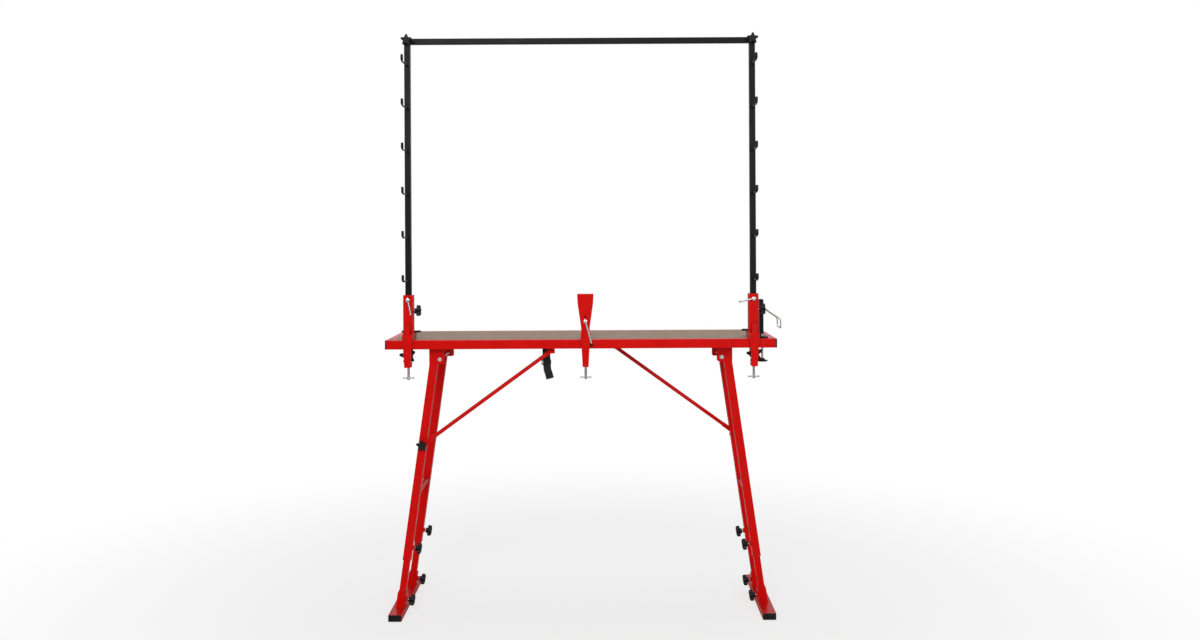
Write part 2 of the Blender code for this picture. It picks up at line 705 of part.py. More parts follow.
def add_brace(side):
    """A diagonal brace: a round bar with an eye at the table and an open hook over the leg's stud."""
    name = SIDE_NAMES[side]
    hook_x, hook_z = brace_hook_point(side)
    eye = Vector((side * BRACE_PIVOT_X, 0, BRACE_PIVOT_Z))
    run = Vector((hook_x, 0, hook_z)) - eye
    length = run.length
    pitch = math.atan2(-run.z, run.x * side)
    pivot = empty(f"{name}_brace_pivot", eye, (0, side * pitch, 0))
    near = brace_plane(side)
    low_y, high_y = sorted((near, near + side * BRACE_PLATE))
    centre_y = near + side * (BRACE_RADIUS + FIT_GAP)
    neck_half = BRACE_RADIUS * 1.15
    neck = BRACE_EYE_RADIUS * 2.5
    bar_start = BRACE_EYE_RADIUS * 1.8
    bar_end = length - BRACE_FLAT_END
    bar = rod("x", (centre_y, 0), BRACE_RADIUS, side * bar_start, side * bar_end, 12)
    eye_plate = slab("y", eye_outline(0, BRACE_EYE_RADIUS, neck_half, side * neck), low_y, high_y)
    hook_neck = side * (bar_end - 2 * BRACE_RADIUS)
    hook_outline = eye_outline(side * length, BRACE_HOOK_RADIUS, neck_half, hook_neck)
    hook_plate = slab("y", hook_outline, low_y, high_y)
    whole = unite(bar, eye_plate, hook_plate)
    beyond = BRACE_PLATE
    pin_hole = rod("y", (0, 0), PIN_RADIUS + FIT_GAP, low_y - beyond, high_y + beyond, 12)
    slot_half = STUD_RADIUS + FIT_GAP
    leaving = stud_exit(eye, Vector((hook_x, 0, hook_z)))
    leaving.rotate(Matrix.Rotation(-side * pitch, 3, "Y"))
    leaving = Vector((leaving.x, leaving.z))
    across = Vector((-leaving.y, leaving.x))
    slot_outline = []
    for step in range(SLOT_STEPS + 1):
        turn = math.pi * step / SLOT_STEPS
        corner = across * math.cos(turn) * slot_half - leaving * math.sin(turn) * slot_half
        slot_outline.append((side * length + corner.x, corner.y))
    for hand in (-1, 1):
        corner = leaving * 2 * BRACE_HOOK_RADIUS + across * hand * (slot_half + HOOK_FLARE)
        slot_outline.append((side * length + corner.x, corner.y))
    slot = slab("y", slot_outline, low_y - beyond, high_y + beyond)
    place(f"{name}_brace", cut(whole, pin_hole, slot), RED, parent=pivot)


def add_brace_anchor(side):
    """The folded ear under the board that holds a brace, with its closed rivet."""
    x = side * BRACE_PIVOT_X
    near = brace_plane(side)
    inner = near - side * SLIDE_GAP
    plate_low, plate_high = sorted((inner, inner - side * BRACKET_PLATE))
    top = BOARD_BOTTOM - FIT_GAP
    half = ANCHOR_WIDTH / 2
    ear = box((x - half, plate_low, BRACE_PIVOT_Z - BRACE_EYE_RADIUS), (x + half, plate_high, top))
    foot_low, foot_high = sorted((inner, inner - side * ANCHOR_WIDTH))
    foot = box((x - half, foot_low, top - BRACKET_PLATE), (x + half, foot_high, top))
    outer = near + side * (BRACE_PLATE + SLIDE_GAP)
    back = inner - side * BRACKET_PLATE
    profile = [
        (PIN_HEAD_RADIUS * 0.6, outer + side * PIN_HEAD_HEIGHT),
        (PIN_HEAD_RADIUS, outer + side * PIN_HEAD_HEIGHT * 0.4),
        (PIN_HEAD_RADIUS, outer),
        (PIN_RADIUS, outer),
        (PIN_RADIUS, back),
        (PIN_HEAD_RADIUS, back - side * FIT_GAP),
        (PIN_HEAD_RADIUS * 0.6, back - side * PIN_HEAD_HEIGHT),
    ]
    rivet = turned("y", (x, BRACE_PIVOT_Z), profile, 16)
    place(f"{SIDE_NAMES[side]}_brace_anchor", unite(ear, foot, rivet), RED)


def clamp_shape(x):
    """A C-shaped clamp round the front rail: an arm on the table, a tapering jaw, a lower arm."""
    front = TABLE_FRONT - SLIDE_GAP
    outer = front - CLAMP_JAW
    arm_low = TABLE_HEIGHT + FIT_GAP
    arm_top = TABLE_HEIGHT + CLAMP_ARM
    tip_z = RAIL_BOTTOM - CLAMP_DROP
    wide, narrow = CLAMP_WIDTH / 2, CLAMP_TIP_WIDTH / 2
    mid_z = RAIL_BOTTOM
    waist = (wide + narrow) / 2
    outline = [
        (x - narrow, tip_z), (x + narrow, tip_z), (x + waist, mid_z), (x + wide, arm_low),
        (x + wide, arm_top), (x - wide, arm_top), (x - wide, arm_low), (x - waist, mid_z),
    ]
    jaw = slab("y", outline, outer, front)
    arm = box((x - wide, front - WELD, arm_low), (x + wide, front + CLAMP_REACH, arm_top))
    lower_top = tip_z + CLAMP_LOWER_ARM
    lower = box((x - narrow, front - WELD, tip_z), (x + narrow, front + CLAMP_LOWER_REACH, lower_top))
    hole = rod("z", (x, SCREW_Y), SCREW_RADIUS + FIT_GAP, tip_z - CUT_BEYOND, lower_top + CUT_BEYOND, 16)
    return cut(unite(jaw, arm, lower), hole)


def add_clamp_screw(name, x):
    """A clamp screw under the rail, with its pad and its crossed bar."""
    pad_top = RAIL_BOTTOM - FIT_GAP
    tip_z = RAIL_BOTTOM - CLAMP_DROP
    end = tip_z - SCREW_BELOW_ARM
    profile = [
        (SCREW_PAD_RADIUS, 0.0),
        (SCREW_PAD_RADIUS, -SCREW_PAD_HEIGHT),
        (SCREW_RADIUS, -SCREW_PAD_HEIGHT - FIT_GAP),
        (SCREW_RADIUS, end - pad_top + WELD),
        (SCREW_RADIUS - WELD, end - pad_top),
    ]
    screw = turned("z", (0, 0), profile, 16)
    bar_z = end - pad_top + SCREW_BAR_ABOVE_END
    half = SCREW_BAR_LENGTH / 2
    bar = rod("x", (0, bar_z), SCREW_BAR_RADIUS, -half, half, 8)
    place(name, unite(screw, bar), ZINC, (x, SCREW_Y, pad_top))


def lever_shape(head_start, rod_length, tip=False):
    """A clamp lever about -Y: a round head with a rod that leaves it along +X."""
    end = head_start + LEVER_HEAD_LENGTH
    profile = [
        (BOLT_RADIUS, 0.0),
        (BOLT_RADIUS, head_start),
        (LEVER_HEAD_RADIUS, head_start + FIT_GAP),
        (LEVER_HEAD_RADIUS, end - WELD),
        (LEVER_HEAD_RADIUS - WELD, end),
    ]
    head = turned("z", (0, 0), profile, 16)
    middle = head_start + LEVER_HEAD_LENGTH / 2
    parts = [rod("x", (0, middle), LEVER_ROD_RADIUS, 0.0, rod_length, 10)]
    if tip:
        start = rod_length - VISE_LEVER_TIP_LENGTH
        parts.append(rod("x", (0, middle), VISE_LEVER_TIP_RADIUS, start, rod_length + WELD, 12))
    return unite(head, *parts)


def facing_front(angle):
    """Turn a lever's own +Z to the front and its rod to an angle seen from the front."""
    return (Matrix.Rotation(-angle, 3, "Y") @ Matrix.Rotation(math.pi / 2, 3, "X")).to_euler()


def add_support(side):
    """An end support: the clamp, the socket post for the rack, its lever, knobs and screw."""
    name = SIDE_NAMES[side]
    x = side * SUPPORT_X
    body = clamp_shape(x)
    post_low = TABLE_HEIGHT + CLAMP_ARM - WELD
    post_high = TABLE_HEIGHT + POST_TOP
    post_bore = rectangle(POST_BORE, POST_BORE)
    post = tube("z", (x, POST_Y), rectangle(POST_SIZE, POST_SIZE), post_bore, post_low, post_high)
    rib_front = TABLE_FRONT - SLIDE_GAP - CLAMP_JAW
    rib_back = POST_Y - POST_SIZE / 2 + WELD
    arm_top = TABLE_HEIGHT + CLAMP_ARM
    rib_outline = [
        (rib_front, arm_top - WELD), (rib_back, arm_top - WELD),
        (rib_back, arm_top + RIB_BACK_HEIGHT), (rib_front, arm_top + RIB_FRONT_HEIGHT),
    ]
    rib = slab("x", rib_outline, x - RIB_WIDTH / 2, x + RIB_WIDTH / 2)
    body = unite(body, post, rib)
    lever_z = TABLE_HEIGHT + POST_LEVER_ABOVE_TABLE
    knob_z = TABLE_HEIGHT + POST_KNOB_ABOVE_TABLE
    tube_face = POST_Y - RACK_TUBE / 2
    lever_hole = rod("y", (x, lever_z), BOLT_RADIUS + FIT_GAP, POST_Y - POST_SIZE, POST_Y, 16)
    knob_hole = rod("x", (POST_Y, knob_z), STUD_RADIUS + FIT_GAP, x, x + POST_SIZE, 12)
    place(f"{name}_support", cut(body, lever_hole, knob_hole), RED)
    angle = LEFT_LEVER_ANGLE if side < 0 else RIGHT_LEVER_ANGLE
    head_start = POST_SIZE / 2 - RACK_TUBE / 2 - STUD_GAP + FIT_GAP
    place(
        f"{name}_support_lever", lever_shape(head_start, LEVER_ROD_LENGTH), ZINC,
        (x, tube_face - STUD_GAP, lever_z), facing_front(angle))
    stud_start = x + RACK_TUBE / 2 + STUD_GAP
    stud = x + POST_SIZE / 2 - stud_start + KNOB_STANDOFF
    place(
        f"{name}_post_knob", star_knob(stud), BLACK_PLASTIC,
        (stud_start, POST_Y, knob_z), facing((1, 0, 0)))
    add_clamp_screw(f"{name}_clamp_screw", x)


def jaw_outline(x, low):
    """A vise jaw seen from the front: a straight neck that widens to a broad flat head."""
    head, neck = VISE_HEAD_WIDTH / 2, VISE_NECK_WIDTH / 2
    shoulder = head * JAW_SHOULDER_SHARE
    corner = JAW_CORNER
    mid = TABLE_HEIGHT + VISE_NECK
    top = TABLE_HEIGHT + VISE_TOP
    return [
        (x - neck, low), (x + neck, low), (x + neck, mid), (x + shoulder, top - JAW_SHOULDER_DROP),
        (x + head, top - corner), (x + head - corner, top), (x - head + corner, top),
        (x - head, top - corner), (x - shoulder, top - JAW_SHOULDER_DROP), (x - neck, mid),
    ]


def add_vise():
    """The centre vise: its clamp with the fixed jaw, the moving jaw, the lever bolt and the screw."""
    front_face = TABLE_FRONT - SLIDE_GAP - CLAMP_JAW
    moving = (front_face, front_face + JAW_PLATE)
    fixed = (moving[1] + JAW_GAP, moving[1] + JAW_GAP + JAW_PLATE)
    bolt_z = TABLE_HEIGHT + VISE_BOLT_ABOVE_TABLE
    slot_z = bolt_z + SIGHT_HOLE_ABOVE_BOLT
    arm_top = TABLE_HEIGHT + CLAMP_ARM
    fixed_jaw = slab("y", jaw_outline(VISE_X, arm_top - FIT_GAP - WELD), *fixed)
    body = unite(clamp_shape(VISE_X), fixed_jaw)
    reach = (front_face - 2 * CUT_BEYOND, fixed[1] + 2 * CUT_BEYOND)
    hole = rod("y", (VISE_X, bolt_z), BOLT_RADIUS + FIT_GAP, *reach, 16)
    place("vise_body", cut(body, hole), RED)
    jaw = slab("y", jaw_outline(VISE_X, arm_top + FIT_GAP), *moving)
    hole = rod("y", (VISE_X, bolt_z), BOLT_RADIUS + FIT_GAP, *reach, 16)
    sight = unite(
        rod("y", (VISE_X, slot_z), STUD_RADIUS, *reach, 12),
        box(
            (VISE_X - STUD_RADIUS, reach[0], slot_z - STUD_RADIUS),
            (VISE_X + STUD_RADIUS, reach[1], slot_z)),
    )
    place("vise_front_jaw", cut(jaw, hole, sight), RED, (0, 0, 0))
    length = fixed[1] - front_face + FIT_GAP
    place(
        "vise_lever", lever_shape(length, VISE_LEVER_LENGTH, tip=True), ZINC,
        (VISE_X, fixed[1], bolt_z), facing_front(VISE_LEVER_ANGLE))
    add_clamp_screw("vise_clamp_screw", VISE_X)


def add_rack():
    """The black drying rack: two uprights in the support posts, a crossbar, and ski arms."""
    outer = rectangle(RACK_TUBE, RACK_TUBE)
    bore = rectangle(RACK_TUBE - 2 * RACK_WALL, RACK_TUBE - 2 * RACK_WALL)
    low = TABLE_HEIGHT + CLAMP_ARM + RACK_FOOT_GAP
    bar_z = RACK_HEIGHT - RACK_TUBE / 2
    bar_y = POST_Y + RACK_TUBE + SLIDE_GAP
    base = empty("rack_slide", (0, POST_Y, TABLE_HEIGHT))
    to_base = Matrix.Translation(-base.location)
    stud_start = RACK_TUBE / 2 - RACK_WALL
    for side in (-1, 1):
        x = side * SUPPORT_X
        upright = tube("z", (x, POST_Y), outer, bore, low, RACK_HEIGHT)
        stud_hole = rod("y", (x, bar_z), STUD_RADIUS + FIT_GAP, POST_Y - RACK_TUBE, POST_Y, 12)
        upright = cut(upright, stud_hole)
        place(
            f"{SIDE_NAMES[side]}_corner_knob", star_knob(RACK_WALL + KNOB_STANDOFF), BLACK_PLASTIC,
            (x, -stud_start, bar_z - TABLE_HEIGHT), facing((0, -1, 0)), base)
        face = POST_Y - RACK_TUBE / 2
        front = face - ARM_REACH
        knee = ARM_BEND * ARM_BEND_SHARE
        arms = []
        for level in range(ARM_LEVELS):
            z = RACK_HEIGHT - ARM_TOP_DROP - level * ARM_PITCH
            points = [
                (x, face + RACK_WALL / 2, z), (x, front + ARM_BEND, z),
                (x, front + knee, z + knee), (x, front, z + ARM_BEND),
                (x, front, z + ARM_TIP_RISE),
            ]
            arms.append(sweep(points, ARM_RADIUS))
        upright = moved(unite(upright, *arms), to_base)
        place(f"{SIDE_NAMES[side]}_upright", upright, BLACK_STEEL, parent=base)
    half = SUPPORT_X + RACK_TUBE / 2
    crossbar = tube("x", (bar_y, bar_z), outer, bore, -half, half)
    place("rack_crossbar", moved(crossbar, to_base), BLACK_STEEL, parent=base)


def add_holder():
    """The iron holder: a bracket bolted through the board, a wire cradle and a disc knob below."""
    base_low = TABLE_HEIGHT + FIT_GAP
    base_top = base_low + HOLDER_PLATE
    half = HOLDER_WIDTH / 2
    base = box(
        (HOLDER_X - half, HOLDER_Y - HOLDER_BASE_DEPTH / 2, base_low),
        (HOLDER_X + half, HOLDER_Y + HOLDER_BASE_DEPTH / 2, base_top))
    post_y = HOLDER_Y + HOLDER_BASE_DEPTH / 2 - HOLDER_POST_DEPTH / 2
    post = centred_box(
        (HOLDER_X, post_y, base_top + HOLDER_HEIGHT / 2 - WELD),
        (HOLDER_POST_THICKNESS, HOLDER_POST_DEPTH, HOLDER_HEIGHT))
    hole_ends = (base_low - CUT_BEYOND, base_top + CUT_BEYOND)
    hole = rod("z", (HOLDER_X, HOLDER_Y), STUD_RADIUS + FIT_GAP, *hole_ends, 12)
    place("holder_bracket", cut(unite(base, post), hole), BLACK_STEEL)
    start_x = HOLDER_X + HOLDER_POST_THICKNESS / 2 + CRADLE_WIRE + FIT_GAP
    front = post_y - CRADLE_SPAN / 2
    back = post_y + CRADLE_SPAN / 2
    reach = start_x + CRADLE_REACH
    top, lip, floor = (TABLE_HEIGHT + height for height in (CRADLE_TOP, CRADLE_LIP, CRADLE_FLOOR))
    points = [(start_x, post_y - CRADLE_WIRE, top)]
    points += [(start_x, front, top), (reach, front, lip), (reach, front, floor)]
    points += [(reach, back, floor), (reach, back, lip), (start_x, back, top)]
    points += [(start_x, post_y + 2 * CRADLE_WIRE, top)]
    place("holder_cradle", sweep(points, CRADLE_WIRE, 8), ZINC)
    stud_top = base_top + HOLDER_BOLT_HEAD_HEIGHT
    knob_top = BOARD_BOTTOM - HOLDER_STUD_DROP
    profile = [
        (HOLDER_BOLT_HEAD_RADIUS, stud_top),
        (HOLDER_BOLT_HEAD_RADIUS, base_top + FIT_GAP),
        (STUD_RADIUS, base_top),
        (STUD_RADIUS, knob_top),
        (DISC_HUB_RADIUS - FIT_GAP, knob_top - FIT_GAP),
        (DISC_HUB_RADIUS, knob_top - DISC_KNOB_HEIGHT * 0.5),
        (DISC_KNOB_RADIUS, knob_top - DISC_KNOB_HEIGHT * 0.6),
        (DISC_KNOB_RADIUS, knob_top - DISC_KNOB_HEIGHT),
    ]
    raised = [(radius, at - BOARD_BOTTOM) for radius, at in profile]
    place("holder_knob", turned("z", (0, 0), raised, 20), BLACK_PLASTIC, (HOLDER_X, HOLDER_Y, BOARD_BOTTOM))


def add_strap():
    """The hanging webbing strap under the board, with its tail aslant, and the buckle on it."""
    top = BOARD_BOTTOM - FIT_GAP
    half = STRAP_WIDTH / 2
    y0, y1 = STRAP_Y, STRAP_Y + STRAP_THICKNESS
    tab_profile = [
        (y1 + STRAP_TAB, top - STRAP_THICKNESS), (y1 + STRAP_TAB, top),
        (y0 + STRAP_FOLD, top), (y0, top - STRAP_FOLD),
        (y0, top - STRAP_DROP), (y1, top - STRAP_DROP), (y1, top - STRAP_THICKNESS),
    ]
    web = slab("x", tab_profile, STRAP_X - half, STRAP_X + half)
    lean = Vector((math.sin(STRAP_SLANT), 0, -math.cos(STRAP_SLANT))) * STRAP_TAIL
    tail_z = top - STRAP_DROP
    shift = STRAP_TWIST_SHIFT
    tail_outline = [
        (STRAP_X - half + shift, tail_z + WELD), (STRAP_X + half + shift, tail_z + WELD),
        (STRAP_X + half + lean.x, tail_z + lean.z), (STRAP_X - half + lean.x, tail_z + lean.z),
    ]
    tail = slab("y", tail_outline, y0, y1)
    place("strap", unite(web, tail), WEBBING)
    buckle = centred_box(
        (STRAP_X, (y0 + y1) / 2, tail_z + BUCKLE_HEIGHT), (BUCKLE_WIDTH, BUCKLE_DEPTH, BUCKLE_HEIGHT))
    slot = centred_box(
        (STRAP_X, (y0 + y1) / 2, tail_z + BUCKLE_HEIGHT),
        (STRAP_WIDTH + 2 * FIT_GAP, STRAP_THICKNESS + 2 * FIT_GAP, 2 * BUCKLE_HEIGHT))
    place("strap_buckle", cut(buckle, slot), BLACK_PLASTIC)


def main():
    """Build the whole table."""
    clear_scene()
    add_table_top()
    for side in (-1, 1):
        add_hinge(side)
        add_leg(side)
        add_foot(side)
        add_brace(side)
        add_brace_anchor(side)
        add_support(side)
    add_vise()
    add_rack()
    add_holder()
    add_strap()


main()
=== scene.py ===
"""The finish and fine detail of the folding waxing table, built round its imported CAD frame.

Metres, in the CAD frame: +X along the table, +Y away from the person in front of it, +Z up.
"""

import json
import logging
import math
from collections.abc import Callable, Iterable, Sequence
from dataclasses import dataclass, field
from enum import Enum
from typing import NamedTuple

import bmesh
import bpy
from mathutils import Matrix, Vector

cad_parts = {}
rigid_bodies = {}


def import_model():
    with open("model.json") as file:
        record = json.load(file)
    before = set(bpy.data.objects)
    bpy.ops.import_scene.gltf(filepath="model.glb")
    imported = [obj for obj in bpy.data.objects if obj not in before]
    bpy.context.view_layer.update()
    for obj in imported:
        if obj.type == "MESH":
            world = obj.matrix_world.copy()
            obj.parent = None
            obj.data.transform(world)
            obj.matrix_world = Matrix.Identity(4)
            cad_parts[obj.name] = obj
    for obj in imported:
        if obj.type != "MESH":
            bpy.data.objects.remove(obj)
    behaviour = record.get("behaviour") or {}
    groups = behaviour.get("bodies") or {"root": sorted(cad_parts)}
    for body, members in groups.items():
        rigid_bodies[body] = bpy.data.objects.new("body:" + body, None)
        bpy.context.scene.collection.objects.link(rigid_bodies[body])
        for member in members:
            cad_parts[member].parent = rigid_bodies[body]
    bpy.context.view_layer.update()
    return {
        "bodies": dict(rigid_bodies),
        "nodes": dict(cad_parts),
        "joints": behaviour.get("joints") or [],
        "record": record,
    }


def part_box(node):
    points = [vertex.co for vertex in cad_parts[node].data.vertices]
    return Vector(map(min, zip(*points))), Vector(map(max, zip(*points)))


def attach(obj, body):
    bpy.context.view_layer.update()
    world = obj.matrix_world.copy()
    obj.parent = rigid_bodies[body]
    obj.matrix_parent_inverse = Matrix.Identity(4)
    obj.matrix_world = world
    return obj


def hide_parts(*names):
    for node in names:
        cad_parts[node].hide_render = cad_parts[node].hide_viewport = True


LOG = logging.getLogger("waxing_table")
Point = tuple[float, float, float]
Colour = tuple[float, float, float]
Span = tuple[float, float]
Pairs = Sequence[Span]
Shape = bmesh.types.BMesh
Source = bpy.types.NodeSocket | float | tuple | None
Sockets = bpy.types.bpy_prop_collection

TABLE_HEIGHT = 0.850
BOARD_BOTTOM = 0.824
SPLAY = math.radians(8.1)
WHITE = (1.0, 1.0, 1.0, 1.0)


@dataclass(frozen=True)
class Side:
    """What sets one end of the table apart from the other; metres and degrees."""

    name: str
    sign: int
    frame_depth: float
    lever_angle: float
    pad_span: Span


SIDES = (
    Side("left", -1, 0.250, -79.0, (-0.030, 0.030)),
    Side("right", 1, 0.190, 192.0, (-0.030, 0.016)),
)


class Slot(Enum):
    """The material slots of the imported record."""

    RED = "red_powder_coat"
    BLACK = "black_powder_coat"
    PLASTIC = "black_plastic"
    ZINC = "zinc_steel"
    LAMINATE = "taupe_laminate"
    WEBBING = "black_webbing"


class Pattern(Enum):
    """What covers a surface besides its colour."""

    POWDER = "powder"
    MOULDED = "moulded"
    BRUSHED = "brushed"
    SPECKLED = "speckled"
    WOVEN = "woven"


@dataclass(frozen=True)
class Finish:
    """One surface finish.

    Attributes are linear colours, plain shader values, and sizes in metres.
    """

    slot: Slot
    pattern: Pattern
    base: Colour
    # Colour of the darker clouds of tone; on the webbing it fills the weave's hollows as painted shade.
    shade: Colour
    # Colour on the outer edges: rubbed paint, and on the red powder coat a pale painted highlight along the
    # edges.
    worn_and_highlit: Colour
    roughness: float
    spread: float
    metallic: float = 0.0
    specular: float = 0.3
    # How strongly the edge colour shows: edge wear, and on the red a painted highlight.
    wear_and_highlight: float = 0.0
    grain_size: float = 0.001
    grain_height: float = 0.00002
    dust: float = 0.0


FINISHES = (
    # The red's pale pink edge colour is a painted highlight along its lit edges.
    Finish(Slot.RED, Pattern.POWDER, (0.62, 0.0035, 0.0020), (0.565, 0.0028, 0.0018), (0.86, 0.13, 0.09),
           0.30, 0.10, specular=0.06, wear_and_highlight=0.45, grain_size=0.0016, grain_height=0.00003, dust=0.01),
    Finish(Slot.BLACK, Pattern.POWDER, (0.008, 0.008, 0.009), (0.005, 0.005, 0.006), (0.08, 0.08, 0.084),
           0.36, 0.12, specular=0.07, wear_and_highlight=0.40, grain_size=0.0013, grain_height=0.00003, dust=0.02),
    Finish(Slot.PLASTIC, Pattern.MOULDED, (0.008, 0.008, 0.009), (0.005, 0.005, 0.006), (0.06, 0.06, 0.062),
           0.44, 0.14, specular=0.14, wear_and_highlight=0.30, grain_size=0.0006, grain_height=0.00003, dust=0.02),
    Finish(Slot.ZINC, Pattern.BRUSHED, (0.44, 0.44, 0.43), (0.33, 0.33, 0.32), (0.62, 0.61, 0.60),
           0.30, 0.16, metallic=1.0, wear_and_highlight=0.30, grain_size=0.0010, grain_height=0.00001),
    Finish(Slot.LAMINATE, Pattern.SPECKLED, (0.30, 0.205, 0.140), (0.245, 0.165, 0.112), (0.38, 0.27, 0.19),
           0.55, 0.12, specular=0.10, wear_and_highlight=0.15, grain_size=0.0012, grain_height=0.00001, dust=0.03),
    # The webbing's darker colour goes into the weave's hollows: painted shade.
    Finish(Slot.WEBBING, Pattern.WOVEN, (0.016, 0.016, 0.018), (0.005, 0.005, 0.006), (0.05, 0.05, 0.052),
           0.82, 0.10, grain_size=0.0011, grain_height=0.00022),
)


class Wiring:
    """A node tree with short ways to add and feed its nodes."""

    def __init__(self, tree: bpy.types.NodeTree) -> None:
        """Keep the tree."""
        self.tree = tree

    def feed(self, socket: bpy.types.NodeSocket, source: Source) -> None:
        """Link a socket to another one, or set its value.

        Args:
            socket: The socket.
            source: What feeds it: another socket, a value, or None to leave it alone.
        """
        if isinstance(source, bpy.types.NodeSocket):
            self.tree.links.new(source, socket)
        elif source is not None:
            socket.default_value = source

    def feeds(self, node: bpy.types.Node, sources: dict[str, Source]) -> None:
        """Feed several of a node's inputs by their names."""
        for label, source in sources.items():
            self.feed(node.inputs[label], source)

    def add(self, kind: str, *sources: Source, **settings: object) -> bpy.types.Node:
        """Add a node.

        Args:
            kind: The node's type.
            sources: What feeds its first inputs, in their order.
            settings: The node's own settings.

        Returns:
            The node.
        """
        node = self.tree.nodes.new(kind)
        for label, value in settings.items():
            setattr(node, label, value)
        for socket, source in zip(node.inputs, sources):
            self.feed(socket, source)
        return node

    def maths(self, operation: str, *sources: Source, clamp: bool = False) -> bpy.types.NodeSocket:
        """The result of one sum on its sources."""
        return self.add("ShaderNodeMath", *sources, operation=operation, use_clamp=clamp).outputs[0]

    def ranged(self, source: Source, span: Span, target: Span = (0.0, 1.0),
               **settings: str) -> bpy.types.NodeSocket:
        """A value carried from one range to another and held inside it."""
        return self.add("ShaderNodeMapRange", source, *span, *target, **settings).outputs["Result"]

    def place(self) -> bpy.types.NodeSocket:
        """Where a point lies on the object, in metres."""
        return self.add("ShaderNodeTexCoord").outputs["Object"]

    def noise(self, place: Source, scale: Source, detail: float,
              roughness: float = 0.5) -> bpy.types.NodeSocket:
        """Cloudy noise.

        Args:
            place: Where each point lies.
            scale: How many clouds there are to a metre.
            detail: How many finer layers it has.
            roughness: How strong the finer layers are.

        Returns:
            The noise's value.
        """
        return self.add("ShaderNodeTexNoise", place, None, scale, detail, roughness).outputs["Fac"]


class Effects:
    """The shader node groups that several finishes share, each built once."""

    noise_span: Span = (0.32, 0.68)
    edge_span: Span = (0.985, 0.86)
    break_span: Span = (0.40, 0.62)
    break_scale = 55.0
    dust_span: Span = (0.4, 1.0)
    dust_scale = 240.0

    def __init__(self) -> None:
        """Build every group."""
        self.mottle = self._mottle()
        self.edge_wear = self._edge_wear()
        self.dust = self._dust()
        self.weave = self._weave()

    @staticmethod
    def _group(name: str, inputs: dict[str, float],
               outputs: Sequence[str]) -> tuple[Wiring, Sockets, Sockets]:
        """Start a node group.

        Args:
            name: The group's name.
            inputs: The default of each input.
            outputs: The outputs.

        Returns:
            The group's wiring, what comes in and what goes out.
        """
        tree = bpy.data.node_groups.new(name, "ShaderNodeTree")
        for label, value in inputs.items():
            socket = tree.interface.new_socket(label, in_out="INPUT", socket_type="NodeSocketFloat")
            socket.default_value = value
        for label in outputs:
            tree.interface.new_socket(label, in_out="OUTPUT", socket_type="NodeSocketFloat")
        start, end = tree.nodes.new("NodeGroupInput"), tree.nodes.new("NodeGroupOutput")
        return Wiring(tree), start.outputs, end.inputs

    def _mottle(self) -> bpy.types.NodeTree:
        """Soft clouds of tone and the fine dimpled skin of a sprayed or moulded surface.

        Returns:
            The group.
        """
        defaults = {"Grain Size": 0.001, "Cloud Size": 0.06, "Stretch": 1.0}
        wiring, start, end = self._group("mottle", defaults, ("Clouds", "Grain"))
        scale = wiring.add("ShaderNodeCombineXYZ", start["Stretch"], 1.0, 1.0).outputs[0]
        drawn = wiring.add("ShaderNodeVectorMath", wiring.place(), scale, operation="MULTIPLY").outputs[0]
        for size, label, detail in (("Cloud Size", "Clouds", 4.0), ("Grain Size", "Grain", 2.0)):
            noise = wiring.noise(drawn, wiring.maths("DIVIDE", 1.0, start[size]), detail, 0.55)
            wiring.feed(end[label], wiring.ranged(noise, self.noise_span))
        return wiring.tree

    def _edge_wear(self) -> bpy.types.NodeTree:
        """A mask of the outer edges, broken up by noise, that carries edge wear and a painted edge highlight.

        Returns:
            The group.
        """
        wiring, start, end = self._group("edge_wear", {"Radius": 0.0012, "Amount": 0.5}, ("Mask",))
        rounded = wiring.add("ShaderNodeBevel", start["Radius"], samples=4).outputs[0]
        plain = wiring.add("ShaderNodeNewGeometry").outputs["Normal"]
        facing = wiring.add("ShaderNodeVectorMath", rounded, plain, operation="DOT_PRODUCT").outputs["Value"]
        broken_up = wiring.ranged(wiring.noise(wiring.place(), self.break_scale, 6.0), self.break_span)
        edge = wiring.maths("MULTIPLY", wiring.ranged(facing, self.edge_span), broken_up)
        wiring.feed(end["Mask"], wiring.maths("MULTIPLY", edge, start["Amount"], clamp=True))
        return wiring.tree

    def _dust(self) -> bpy.types.NodeTree:
        """A mask of fine dust that lies on what faces up.

        Returns:
            The group.
        """
        wiring, start, end = self._group("dust", {"Amount": 0.1}, ("Mask",))
        normal = wiring.add("ShaderNodeNewGeometry").outputs["Normal"]
        upward = wiring.ranged(wiring.add("ShaderNodeSeparateXYZ", normal).outputs["Z"], self.dust_span)
        specks = wiring.maths("MULTIPLY", upward, wiring.noise(wiring.place(), self.dust_scale, 5.0))
        wiring.feed(end["Mask"], wiring.maths("MULTIPLY", specks, start["Amount"], clamp=True))
        return wiring.tree

    def _weave(self) -> bpy.types.NodeTree:
        """The height of the plain weave of webbing, from the piece's own UV map in metres.

        Returns:
            The group.
        """
        wiring, start, end = self._group("weave", {"Thread": 0.0011}, ("Height",))
        uv = wiring.add("ShaderNodeUVMap").outputs["UV"]
        scaled = wiring.add("ShaderNodeVectorMath", uv, operation="SCALE")
        wiring.feed(scaled.inputs["Scale"], wiring.maths("DIVIDE", math.pi, start["Thread"]))
        split = wiring.add("ShaderNodeSeparateXYZ", scaled.outputs["Vector"]).outputs
        across, along = (wiring.maths("ABSOLUTE", wiring.maths("SINE", split[axis])) for axis in "XY")
        wiring.feed(end["Height"], wiring.maths("MULTIPLY", across, along))
        return wiring.tree


